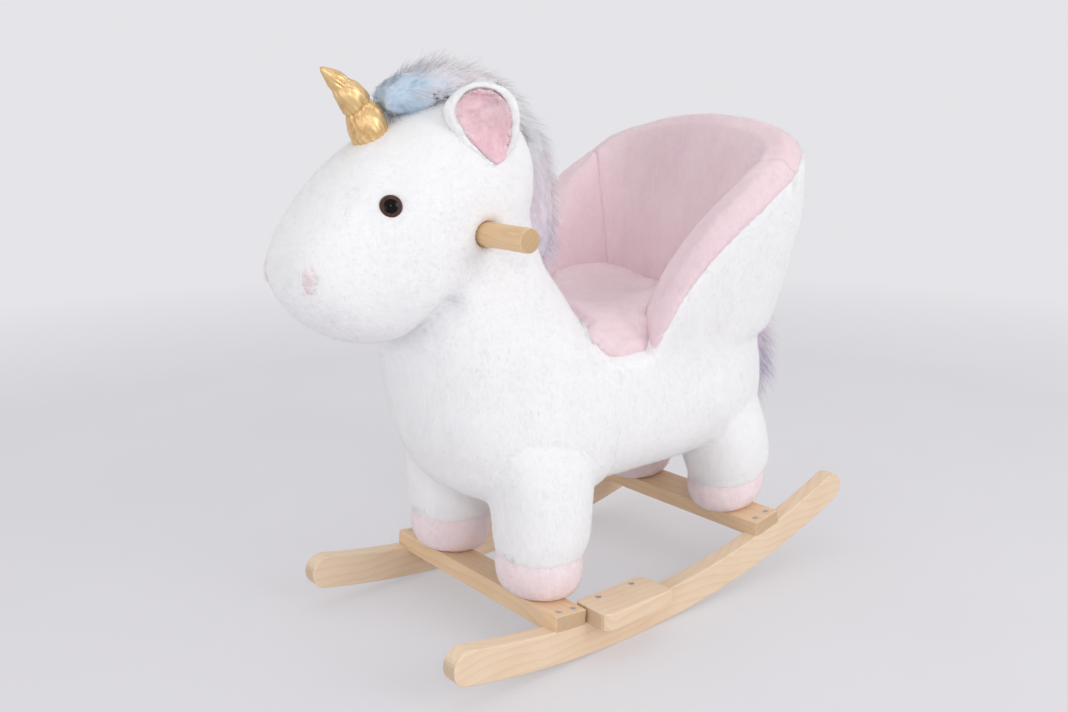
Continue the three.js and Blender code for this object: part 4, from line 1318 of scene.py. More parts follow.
class Workshop:
    """Gives pieces their finish, body and CAD nodes, and reports them."""

    def __init__(self) -> None:
        """Starts with no finishes."""
        self.made: dict[str, Material] = {}

    def material(self, finish: Finish) -> Material:
        """The material of a finish, built at its first use.

        Args:
            finish: The finish.

        Returns:
            The material.
        """
        if finish.name not in self.made:
            self.made[finish.name] = finish.make()
        return self.made[finish.name]

    def dress(
        self, piece: Piece, finish: Finish, slot: str, stands_for: Names = (), fill: float | None = None,
    ) -> Piece:
        """Finishes a piece and hands it to the frame.

        Args:
            piece: The piece, in place.
            finish: What its surface is.
            slot: A material slot's name; not used.
            stands_for: The CAD nodes that it hides.
            fill: How tightly it is stuffed, if it is; not used.

        Returns:
            The piece.
        """
        piece.data.materials.clear()
        piece.data.materials.append(self.material(finish))
        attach(piece, BODY)
        if stands_for:
            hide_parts(*stands_for)
        log.info("%s: %d faces", piece.name, len(piece.data.polygons))
        return piece

    def fur(
        self, pile: Pile, name: str, skin: Piece, nap: Triple, seed: int, finish: Finish, slot: str,
        keep: Keep = None, hidden_by: Pieces = (),
    ) -> None:
        """Grows a pile on a skin, as Pile.grow does, and dresses it."""
        self.dress(pile.grow(name, skin, np.array(nap), seed, keep, hidden_by), finish, slot)


# Finishes of this toy

WHITE = PlushFinish("white_plush_skin", tone(248, 248, 249), tone(238, 238, 241), contrast=0.4, bump=0.25)
WHITE_PILE = HairFinish("white_plush_pile", tone(252, 252, 253), tone(245, 245, 248), patch=60.0, fine=500.0,
                        shine=0.08)
PINK = PlushFinish("pink_plush_lining", tone(243, 221, 226), tone(233, 205, 213), patch=22.0, clump=110.0,
                   contrast=0.7, bump=0.3, depth=0.8 * MM)
PINK_PILE = HairFinish("pink_plush_pile", tone(246, 227, 231), tone(239, 214, 221), patch=40.0, fine=500.0, shine=0.08)
FOOT_PINK = PlushFinish("pink_plush_foot", tone(249, 233, 236), tone(242, 220, 226), patch=40.0, clump=170.0,
                        contrast=0.6, bump=0.4)
BLUSH = PlushFinish("pink_plush_nostril", tone(249, 238, 241), tone(246, 226, 231), patch=90.0, contrast=0.8,
                    bump=0.3)
EAR_PINK = PlushFinish("pink_plush_ear", tone(246, 216, 222), tone(236, 190, 200), patch=60.0, clump=220.0,
                       contrast=0.9, bump=0.4)
EAR_PINK_PILE = HairFinish("pink_plush_ear_pile", tone(246, 222, 228), tone(234, 196, 206), patch=60.0, fine=500.0,
                           shine=0.08)
GOLD = FoilFinish("gold_foil_cloth", tone(234, 200, 146), tone(192, 146, 90))
PINE = WoodFinish("pine_rocker", tone(240, 216, 188), tone(222, 186, 148), along=0.0)
PINE_ACROSS = WoodFinish("pine_slat", tone(236, 206, 170), tone(214, 176, 132), along=math.pi / 2)
DOWEL = WoodFinish("pine_dowel", tone(231, 198, 156), tone(206, 162, 114), along=math.pi / 2, rings=90.0)
PLYWOOD = WoodFinish("plywood_board", tone(214, 184, 142), tone(178, 140, 98), contrast=0.9, coat=0.0)
STEEL = SolidFinish("zinc_screw", tone(206, 208, 212), tone(176, 178, 184), metallic=0.8, roughness=0.42)
WASHER = SolidFinish("washer_plastic", tone(232, 232, 228), tone(205, 205, 200), roughness=0.5)


@dataclass
class Hide:
    """The white plush: head, neck, body, legs and the outside of the seat."""

    shop: Workshop
    parts: Names = TRUNK + tuple(corner + "_leg" for corner in CORNERS)
    inner: Names = (
        "neck_post", "seat_board", "back_board", *(corner + "_post" for corner in CORNERS), "handle_screw",
    )
    linings: Names = (
        "right_lining", "back_lining", "left_lining", "seat_cushion", *(corner + "_foot" for corner in CORNERS),
        "left_nostril", "right_nostril",
    )
    voxel: float = 3.6 * MM
    seam_y: float = -32 * MM
    seam_z: Pair = (0.14, 0.33)
    side_groove: Pair = (1.6 * MM, 4 * MM)
    jaw_grooves: Line = ((8 * MM, 17 * MM), (9 * MM, 9 * MM))
    leg_grooves: tuple[tuple[str, str, float], ...] = (
        ("front_{}_leg", "front_body", 2 * MM), ("rear_{}_leg", "rear_body", 1.2 * MM),
    )
    leg_groove_width: float = 4 * MM
    jaw_behind: float = -0.185
    jaw_under: float = 0.385
    handle_hole: float = 11 * MM
    head_foot: float = 0.345
    neck_back: float = -0.06
    seat_foot: float = 0.308
    pile: Pile = Pile()
    hem: Pile = Pile(length=7 * MM, width=0.16 * MM, density=220000.0, lean=2.4)
    brim: Pile = Pile(length=6.5 * MM, width=0.14 * MM, density=240000.0, lean=1.8, scatter=0.5, lit=1.0)

    def make(self, covers: Pieces) -> Piece:
        """Builds the skin, its seams and its pile.

        Args:
            covers: The pieces that hide parts of the skin.

        Returns:
            The skin.
        """
        form = SoftForm("plush_body", self.parts, voxel=self.voxel, rounds=26, swell=1 * MM, tufts=0.12 * MM,
                        lumps=1 * MM, filler=self.inner + self.linings)
        skin = form.make()
        tuck(skin.data, self.parts, self.linings, depth=6 * MM, reach=14 * MM)
        self.seams(skin.data)
        form.stuff(skin)
        self.shop.dress(skin, WHITE, "white_plush", self.parts, fill=0.85)
        self.fur(skin, covers)
        return skin

    def seams(self, mesh: Mesh) -> None:
        """Draws in the side seam, the crease under the jaw, the legs' seams and the skin round the handle.

        Args:
            mesh: The skin, changed in place.
        """
        _, y, z = points_of(mesh).T
        depth, width = self.side_groove
        sunk = depth * np.exp(-((np.abs(y - self.seam_y) / width) ** 2))
        low, high = self.seam_z
        push_out(mesh, -np.where((z < high) & (z > low), sunk, 0))
        jaw = seam_between("front_body", "head")
        jaw = jaw[(jaw[:, 1] < self.jaw_behind) & (jaw[:, 2] < self.jaw_under)]
        for depth, width in self.jaw_grooves:
            groove(mesh, jaw, depth, width)
        for name, _ in SIDES:
            for leg, body, depth in self.leg_grooves:
                groove(mesh, seam_between(leg.format(name), body), depth, self.leg_groove_width)
        turn = np.linspace(0, 2 * math.pi, 24)
        y, z = HANDLE_AXIS
        ring = np.stack([np.zeros(24), y + self.handle_hole * np.cos(turn), z + self.handle_hole * np.sin(turn)], 1)
        for _, side in SIDES:
            for out in (0.07, 0.08, 0.09):
                groove(mesh, ring + [side * out, 0, 0], 2 * MM, 8 * MM)

    def regions(self, points: Array) -> tuple[Array, ...]:
        """Which points lie on the head, the chest, the rear and the outside of the seat.

        Args:
            points: The points to try.

        Returns:
            The four answers for each point.
        """
        _, y, z = points.T
        high, fore = z > self.head_foot, y < self.seam_y
        chest, rear = ~high & fore, (z <= self.seat_foot) & ~fore
        seat = (z > self.seat_foot) & (y >= self.neck_back) & ~chest
        return high & (y < self.neck_back), chest, rear, seat

    def fur(self, skin: Piece, covers: Pieces) -> None:
        """Grows the pile, brushed back over the head and down over the body.

        Args:
            skin: The skin.
            covers: The pieces that hide parts of it.
        """
        regions = (
            ("head_pile", (0, 0.9, -0.35)), ("chest_pile", (0, 0.2, -1.0)), ("rear_pile", (0, 0.35, -1.0)),
            ("seat_pile", (0, 0.15, -1.0)),
        )
        for k, (name, nap) in enumerate(regions):
            self.shop.fur(self.pile, name, skin, nap, 11 + k, WHITE_PILE, "white_plush",
                          lambda points, k=k: self.regions(points)[k], covers)
        feet = np.concatenate([seam_between(corner + "_leg", corner + "_foot") for corner in CORNERS])
        self.shop.fur(self.hem, "hem_pile", skin, (0, 0, -1.0), 21, WHITE_PILE, "white_plush",
                      lambda points: beside(points, feet, 9 * MM, -1 * MM))
        edge = np.concatenate([seam_between("seat_shell", name) for name in self.linings[:3]])
        front = np.concatenate([seam_between("seat_cushion", name) for name in ("front_body", "rear_body")])
        edge = np.concatenate([edge[edge[:, 2] > 0.36], front[front[:, 1] < 0]])
        self.shop.fur(self.brim, "brim_pile", skin, (0, -0.4, 1.0), 22, WHITE_PILE, "white_plush",
                      lambda points: beside(points, edge, 7 * MM))


@dataclass
class Feet:
    """The four pink feet."""

    shop: Workshop
    pile: Pile = Pile(length=3 * MM, width=0.2 * MM, density=160000.0)

    def make(self) -> list[Piece]:
        """Builds each foot and its pile.

        Returns:
            The feet.
        """
        made = []
        for seed, name in enumerate(corner + "_foot" for corner in CORNERS):
            form = SoftForm(name + "_plush", (name,), voxel=2.4 * MM, rounds=14, swell=0.8 * MM,
                            lumps=0.8 * MM, lump_size=22 * MM, tufts=0.35 * MM, seed=30 + seed)
            foot = form.make()
            form.stuff(foot)
            self.shop.dress(foot, FOOT_PINK, "pink_plush", (name,), fill=0.9)
            self.shop.fur(self.pile, name + "_pile", foot, (0, 0.1, -1.0), 40 + seed, PINK_PILE, "pink_plush")
            made.append(foot)
        return made


@dataclass
class Seat:
    """The pink inside of the seat: three sewn linings and the cushion."""

    shop: Workshop
    pile: Pile = Pile(length=2.6 * MM, width=0.2 * MM, density=150000.0, lean=2.4)
    stretch: Triple = (1.02, 1.05, 1.0)

    def make(self) -> list[Piece]:
        """Builds the linings and the cushion.

        Returns:
            The linings and the cushion.
        """
        made = []
        lining, cushion = (2.6, 7, 2.0, 0.0), (4.0, 5, 5.4, 5.0)
        for seed, (name, (voxel, rounds, swell, puffed)) in enumerate((
            ("right_lining", lining), ("left_lining", lining), ("back_lining", lining), ("seat_cushion", cushion),
        )):
            form = SoftForm(name + "_plush", (name,), voxel=voxel * MM, rounds=rounds, swell=swell * MM,
                            lumps=0.8 * MM, lump_size=48 * MM, tufts=0.15 * MM, seed=50 + seed, puffed=puffed * MM)
            piece = form.make()
            form.stuff(piece)
            if puffed:
                points = points_of(piece.data)
                middle = (points.min(0) + points.max(0)) / 2
                set_points(piece.data, middle + (points - middle) * np.array(self.stretch))
            self.shop.dress(piece, PINK, "pink_plush", (name,), fill=0.7)
            made.append(piece)
        for seed, piece in enumerate(made):
            others = tuple(m for m in made if m is not piece)
            self.shop.fur(self.pile, piece.name.replace("_plush", "_pile"), piece, (0, 0.1, -1.0), 60 + seed,
                          PINK_PILE, "pink_plush", None, others)
        return made


@dataclass
class Face:
    """The ears, eyes and nostrils."""

    shop: Workshop
    eye_radius: float = 11 * MM
    eye_dome: float = 7.5 * MM
    eye_place: Triple = (69 * MM, -277 * MM, 486 * MM)
    eye_turn: float = math.radians(60)
    eye_rise: float = math.radians(10)
    eye_rings: Pair = (6.6 * MM, 12.6 * MM)
    eye_stem: Line = (
        (2.4 * MM, -17 * MM), (2.5 * MM, -2.2 * MM), (10 * MM, -2 * MM), (10.9 * MM, -1.2 * MM),
    )
    ear_foot: Triple = (90 * MM, -164 * MM, 526 * MM)
    ear_size: Pair = (70 * MM, 68 * MM)
    ear_turn: float = math.radians(52)
    ear_splay: float = math.radians(8)
    ear_pile: Pile = Pile(length=6.5 * MM, width=0.16 * MM, density=280000.0, lean=1.1, scatter=0.6,
                          swirl=7 * MM, lit=0.4)
    lining_pile: Pile = Pile(length=4 * MM, width=0.16 * MM, density=240000.0, lean=1.2, scatter=0.8, swirl=8 * MM)
    creases: tuple[Line, ...] = (
        ((-0.52, 0.57), (-0.42, 0.56), (-0.28, 0.66), (-0.14, 0.75)),
        ((-0.42, 0.56), (-0.31, 0.4), (-0.2, 0.22), (-0.1, 0.04)),
    )
    ear_edge: Line = (
        (0.0, -0.04), (0.09, 0.1), (0.15, 0.24), (0.17, 0.42), (0.16, 0.6), (0.09, 0.8), (-0.05, 0.93),
        (-0.24, 0.97), (-0.45, 0.95), (-0.63, 0.82), (-0.75, 0.64), (-0.7, 0.46), (-0.56, 0.3), (-0.4, 0.16),
        (-0.25, 0.03), (-0.1, -0.08),
    )
    flap_edges: tuple[Line, ...] = (
        ((-0.7, 0.62), (-0.62, 0.44), (-0.47, 0.28), (-0.31, 0.14), (-0.12, -0.02), (-0.04, -0.05)),
        ((-0.5, 0.8), (-0.34, 0.66), (-0.18, 0.5), (-0.06, 0.36), (0.03, 0.2), (0.04, 0.02)),
    )

    def make(self) -> list[Piece]:
        """Builds the ears, eyes and nostrils.

        Returns:
            The ears and their linings.
        """
        made = []
        for name, side in SIDES:
            made += self.ear(name, side)
            self.eye(name, side)
            self.nostril(name, side)
        return made

    def ear(self, name: str, side: int) -> list[Piece]:
        """One ear: the white leaf with its thick furry rim, and its pink lining.

        Args:
            name: The side's name.
            side: 1 for the left, -1 for the right.

        Returns:
            The leaf and its lining.
        """
        leaf, pink = name + "_ear", name + "_ear_lining"
        form = SoftForm(leaf + "_plush", (leaf,), voxel=1.6 * MM, rounds=14, swell=0.8 * MM, lumps=0.6 * MM,
                        lump_size=20 * MM, tufts=0.2 * MM, seed=70 + side, filler=(pink,),
                        added=(self.rim(name, side),))
        ear = form.make()
        tuck(ear.data, (leaf,), (pink,), depth=8 * MM, reach=8 * MM)
        form.stuff(ear)
        self.shop.dress(ear, WHITE, "white_plush", (leaf,), fill=0.5)
        inner = SoftForm(pink + "_plush", (pink,), voxel=1.1 * MM, rounds=8, swell=2 * MM, lumps=0.5 * MM,
                         lump_size=15 * MM, tufts=0.1 * MM, seed=80 + side, added=(self.flap(name, side),))
        lining = inner.make()
        covers = ((node_tree("head"), 3 * MM), (node_tree(pink), 2 * MM))
        for places in self.creases:
            groove(lining.data, self.lift(self.in_ear(side, places), side, covers), 2.2 * MM, 3.4 * MM)
        inner.stuff(lining)
        self.shop.dress(lining, EAR_PINK, "pink_plush", (pink,), fill=0.3)
        self.shop.fur(self.ear_pile, leaf + "_pile", ear, (0, 0.4, 0.5), 90 + side, WHITE_PILE, "white_plush", None,
                      (lining,))
        self.shop.fur(self.lining_pile, pink + "_pile", lining, (0, 0.1, 1.0), 94 + side, EAR_PINK_PILE,
                      "pink_plush", None, (ear,))
        return [ear, lining]

    def axes(self, side: int) -> tuple[Array, Array, Array]:
        """An ear's ways across, up and out of its open side.

        Args:
            side: 1 for the left ear, -1 for the right.

        Returns:
            The three ways.
        """
        face = np.array([side * math.sin(self.ear_turn), -math.cos(self.ear_turn), 0])
        up = np.array([side * math.sin(self.ear_splay), 0, math.cos(self.ear_splay)])
        across = unit(side * np.cross(up, face))
        return across, up, unit(side * np.cross(across, up))

    def in_ear(self, side: int, places: Line) -> Array:
        """Points on an ear, close together along a line.

        Args:
            side: 1 for the left ear, -1 for the right.
            places: The line's points, as shares of the ear's width across and of its height up.

        Returns:
            The line's points.
        """
        across, up, _ = self.axes(side)
        x, y, z = self.ear_foot
        wide, tall = self.ear_size
        line = np.array([np.array([side * x, y, z]) + across * a * wide + up * b * tall for a, b in places])
        return smooth_line(line, 72)

    def lift(self, points: Array, side: int, covers: tuple[tuple[BVHTree, float], ...]) -> Array:
        """Moves points out of an ear until they lie over what they would be hidden by.

        Args:
            points: The points to move.
            side: 1 for the left ear, -1 for the right.
            covers: Each form to lie over, and by how much.

        Returns:
            The points' new places.
        """
        face = self.axes(side)[2]
        moved = []
        for point in points:
            start = point + face * 60 * MM
            hits = [(tree.ray_cast(Vector(start), Vector(-face), 75 * MM)[3], over) for tree, over in covers]
            out = [60 * MM - away + over for away, over in hits if away is not None]
            moved.append(point + face * max(out, default=0.0))
        return np.array(moved)

    def rim(self, name: str, side: int) -> Piece:
        """The stuffed roll round the ear's edge, thickest along its front.

        Args:
            name: The side's name.
            side: 1 for the left, -1 for the right.

        Returns:
            The roll.
        """
        line = self.in_ear(side, self.ear_edge)
        face = self.axes(side)[2]
        share = np.linspace(0, 1, len(line))
        radius = np.interp(share, [0, 0.2, 0.5, 0.62, 0.72, 0.95, 1], [2.6, 2.8, 3.4, 4.8, 5.6, 5.0, 3.6])
        push = np.interp(share, [0, 0.5, 0.7, 1], [-4, -3.5, 1.0, 1.0])
        line = line + face * push[:, None] * MM
        over = self.lift(line, side, ((node_tree("head"), 0.5 * MM),))
        rise = ((over - line) @ face)[:, None] * np.clip((share - 0.55) / 0.1, 0, 1)[:, None]
        line = line + face * np.clip(rise, 0, 50 * MM)
        along = unit(np.gradient(line, axis=0))
        side_way = unit(np.cross(along, face))
        other = np.cross(along, side_way)
        turn = np.linspace(0, 2 * math.pi, 14, endpoint=False)[None, :, None]
        ring = np.cos(turn) * side_way[:, None] + np.sin(turn) * other[:, None]
        return lofted(name + "_ear_rim", line[:, None] + ring * radius[:, None, None] * MM)

    def flap(self, name: str, side: int) -> Piece:
        """The part of the pink lining that lies on the head, inside the front roll.

        Args:
            name: The side's name.
            side: 1 for the left, -1 for the right.

        Returns:
            The flap.
        """
        outer, inner = (self.in_ear(side, places) for places in self.flap_edges)
        share = np.linspace(0, 1, 14)[None, :, None]
        grid = outer[:, None] * (1 - share) + inner[:, None] * share
        covers = ((node_tree("head"), 3 * MM), (node_tree(name + "_ear_lining"), 0.4 * MM))
        top = self.lift(grid.reshape(-1, 3), side, covers).reshape(grid.shape)
        low = top - self.axes(side)[2] * 5 * MM
        return lofted(name + "_ear_flap", np.concatenate([top, low[:, ::-1]], 1))

    def eye(self, name: str, side: int) -> None:
        """One glossy eye on its stem.

        Args:
            name: The side's name.
            side: 1 for the left, -1 for the right.
        """
        x, y, z = self.eye_place
        place = Vector((side * x, y, z))
        flat = math.cos(self.eye_rise)
        way = Vector((side * math.sin(self.eye_turn) * flat, -math.cos(self.eye_turn) * flat,
                      math.sin(self.eye_rise)))
        dome = [
            (self.eye_radius * math.cos(t), self.eye_dome * math.sin(t))
            for t in np.linspace(0, math.pi / 2 - 0.03, 14)
        ]
        eye = turned(name + "_eye_bead", [*self.eye_stem, *dome], place, way, 48)
        finish = EyeFinish(name + "_eye_gloss", place + way * self.eye_dome, *self.eye_rings)
        self.shop.dress(eye, finish, "eye_plastic", (name + "_eye",))

    def nostril(self, name: str, side: int) -> None:
        """One faint pink nostril.

        Args:
            name: The side's name.
            side: 1 for the left, -1 for the right.
        """
        form = SoftForm(name + "_nostril_plush", (name + "_nostril",), voxel=0.8 * MM, rounds=20, swell=0.6 * MM,
                        lumps=0.2 * MM, lump_size=8 * MM, tufts=0.1 * MM, seed=100 + side)
        patch = form.make()
        self.shop.dress(patch, BLUSH, "pink_plush", (name + "_nostril",), fill=0.4)
        for order, (finish, slot, density) in enumerate((
            (EAR_PINK_PILE, "pink_plush", 150000.0), (WHITE_PILE, "white_plush", 220000.0),
        )):
            pile = Pile(length=6 * MM, width=0.16 * MM, density=density, scatter=0.5)
            self.shop.fur(pile, f"{name}_nostril_pile_{order}", patch, (0, 0.9, -0.35), 104 + side + 7 * order,
                          finish, slot)


@dataclass
class Horn:
    """The gathered gold horn."""

    shop: Workshop
    foot: Triple = (0.0, -254 * MM, 547 * MM)
    tip: Triple = (0.0, -304 * MM, 610.5 * MM)
    radius: float = 20 * MM
    rows: int = 120
    around: int = 96
    bow: float = 8 * MM
    shares: Line = (
        (-0.15, 0.9), (0, 0.95), (0.1, 1.0), (0.2, 0.96), (0.29, 0.82), (0.345, 0.68), (0.37, 0.66), (0.41, 0.72),
        (0.5, 0.74), (0.6, 0.66), (0.67, 0.51), (0.7, 0.455), (0.73, 0.46), (0.79, 0.45), (0.87, 0.35), (0.94, 0.22),
        (0.98, 0.13), (1, 0.05),
    )
    gathers: tuple[Triple, ...] = ((0.36, 0.12, 0.15), (0.71, 0.09, 0.15), (0.02, 0.09, 0.1))

    def make(self) -> Piece:
        """Builds the horn with folds that run out of each gather.

        Returns:
            The horn.
        """
        foot, tip = np.array(self.foot), np.array(self.tip)
        way = unit(tip - foot)
        across = np.array([1.0, 0.0, 0.0])
        up = np.cross(way, across)
        at = np.linspace(-0.15, 1, self.rows)
        line = smooth_line(np.array(self.shares), 400)
        base = np.interp(at, line[:, 0], line[:, 1]) * self.radius
        angle = np.linspace(0, 2 * math.pi, self.around, endpoint=False)
        rings = []
        for share, radius in zip(at, base):
            swing = angle + 1.1 * share
            level = np.full(self.around, share)
            wobble = 0.05 * lattice_noise(np.stack([np.cos(swing) * 1.5, np.sin(swing) * 1.5, level * 6], 1), 5)
            for k, (centre, reach, depth) in enumerate(self.gathers):
                near = math.exp(-(((share - centre) / reach) ** 2))
                fine = np.stack([np.cos(swing) * 3.4, np.sin(swing) * 3.4, level * 2.2], 1)
                fold = 1 - 2 * np.abs(lattice_noise(fine, 31 + k)) ** 0.7
                wobble = wobble + near * depth * (fold - 0.2)
            r = radius * (1 + wobble)
            bend = self.bow * math.sin(math.pi * share) if share > 0 else 0.0
            middle = foot + way * share * np.linalg.norm(tip - foot) + up * bend
            rings.append(middle + r[:, None] * (np.cos(angle)[:, None] * across + np.sin(angle)[:, None] * up))
        horn = lofted("horn_cloth", np.array(rings))
        return self.shop.dress(horn, GOLD, "gold_fabric", ("horn",), fill=0.8)


@dataclass(frozen=True)
class Lock:
    """One tint of the long hair: where round the hub its middle lies, and its two colours."""

    name: str
    turn: float
    first: Colour
    second: Colour


@dataclass
class Hair:
    """The long pastel mane and tail."""

    shop: Workshop
    strand_radius: float = 0.13 * MM
    mane_hub: Pair = (-150 * MM, 450 * MM)
    tail_hub: Pair = (250 * MM, 240 * MM)
    mane_line: Line = (
        (-246, 569), (-236, 580), (-212, 588), (-177, 593), (-137, 586), (-104, 564), (-78, 530), (-66, 497),
        (-61, 462), (-56, 430), (-50, 404),
    )
    tail_line: Line = (
        (240, 305), (266, 305), (295, 300), (320, 282), (331, 253), (333, 224), (332, 196), (330, 175),
    )
    mane_locks: tuple[Lock, ...] = (
        Lock("blue", 130.0, tone(160, 192, 220), tone(196, 216, 235)),
        Lock("blush", 104.0, tone(253, 247, 249), tone(247, 237, 243)),
        Lock("mist", 66.0, tone(252, 252, 254), tone(243, 243, 249)),
        Lock("rose", 22.0, tone(252, 240, 246), tone(247, 233, 243)),
        Lock("lilac", -16.0, tone(240, 230, 252), tone(247, 241, 253)),
    )
    tail_locks: tuple[Lock, ...] = (
        Lock("rose", 60.0, tone(242, 222, 234), tone(230, 216, 236)),
        Lock("lilac", -30.0, tone(214, 204, 236), tone(228, 218, 242)),
    )

    def make(self) -> list[Piece]:
        """Builds the mane and the tail.

        Returns:
            The cores and the locks.
        """
        mane = self.bunch("mane", self.mane_line, self.mane_locks, self.mane_hub, 26 * MM, 150000.0, 5.5 * MM)
        tail = self.bunch("tail", self.tail_line, self.tail_locks, self.tail_hub, 38 * MM, 140000.0, 6.5 * MM)
        return mane + tail

    def bunch(
        self, node: str, line: Line, locks: tuple[Lock, ...], hub: Pair,
        length: float, density: float, sunk: float,
    ) -> list[Piece]:
        """A matted core and the locks that grow on it.

        Args:
            node: The CAD node of the whole bunch.
            line: The bunch's middle line, as Y and Z in millimetres, which the hair is combed along.
            locks: The tints in the bunch.
            hub: The point, as Y and Z, round which the tints follow one another.
            length: How long the hair is.
            density: Strands to a square metre.
            sunk: How far the core lies within the bunch's outer shape.

        Returns:
            The core and the locks.
        """
        form = SoftForm(node + "_core", (node,), voxel=2.4 * MM, rounds=16, swell=-sunk, lumps=1.5 * MM,
                        lump_size=14 * MM, tufts=1 * MM, tuft_size=5 * MM, seed=140)
        core = form.make()
        form.stuff(core)
        share = np.clip((sunk + 5 * MM - gap_to(points_of(core.data), *TRUNK)) / (5 * MM), 0, 1)
        push_out(core.data, (sunk + 1 * MM) * share)
        tints = tuple((lock.turn, lock.second) for lock in sorted(locks, key=lambda lock: lock.turn))
        self.shop.dress(core, BandFinish(node + "_matted_hair", hub, tints), "pastel_hair", (node,))
        rng = np.random.default_rng(200 + len(locks))
        root, up = sow(core, density, rng, None, tuple(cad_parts[name] for name in TRUNK))
        middle = smooth_line(np.array(line) * MM, 120)
        tangent = unit(np.gradient(middle, axis=0))
        near = np.argmin(np.linalg.norm(root[:, None, 1:] - middle[None], axis=2), axis=1)
        along = np.stack([np.zeros(len(root)), tangent[near, 0], tangent[near, 1]], 1)
        clump = drift(root, 7 * MM, 19)
        way = unit(up * 0.9 + along * 0.85 + 0.4 * drift(root, 18 * MM, 23) + 0.16 * rng.normal(size=root.shape))
        fall = 0.25 + 1.5 * np.clip((-0.195 - root[:, 1:2]) / 0.03, 0, 1)
        end = unit(way + 0.7 * along + 0.3 * clump - fall * np.array([0, 0, 1.0]))
        tall = length * (0.55 + 0.6 * rng.random(len(root))) * (1 + 0.3 * lattice_noise(root / (11 * MM), 27))
        s = np.linspace(0, 1, 5)[None, :, None]
        paths = (root - up * 1.5 * MM)[:, None] + tall[:, None, None] * s * (
            way[:, None] * (1 - 0.5 * s) + end[:, None] * 0.5 * s)
        paths = paths + 3.5 * MM * clump[:, None] * s**2
        turn = np.degrees(np.arctan2(root[:, 2] - hub[1], root[:, 1] - hub[0]))
        turn = turn + 11 * lattice_noise(root / (13 * MM), 29) + 7 * rng.normal(size=len(root))
        which = np.argmin(np.abs(turn[:, None] - np.array([lock.turn for lock in locks])[None]), axis=1)
        made = [core]
        for k, lock in enumerate(locks):
            mine = which == k
            piece = strands(f"{node}_{lock.name}", paths[mine], up[mine], self.strand_radius, rng)
            finish = HairFinish(f"{node}_hair_{lock.name}", lock.first, lock.second, patch=60.0, shine=0.15)
            made.append(self.shop.dress(piece, finish, "pastel_hair"))
        return made


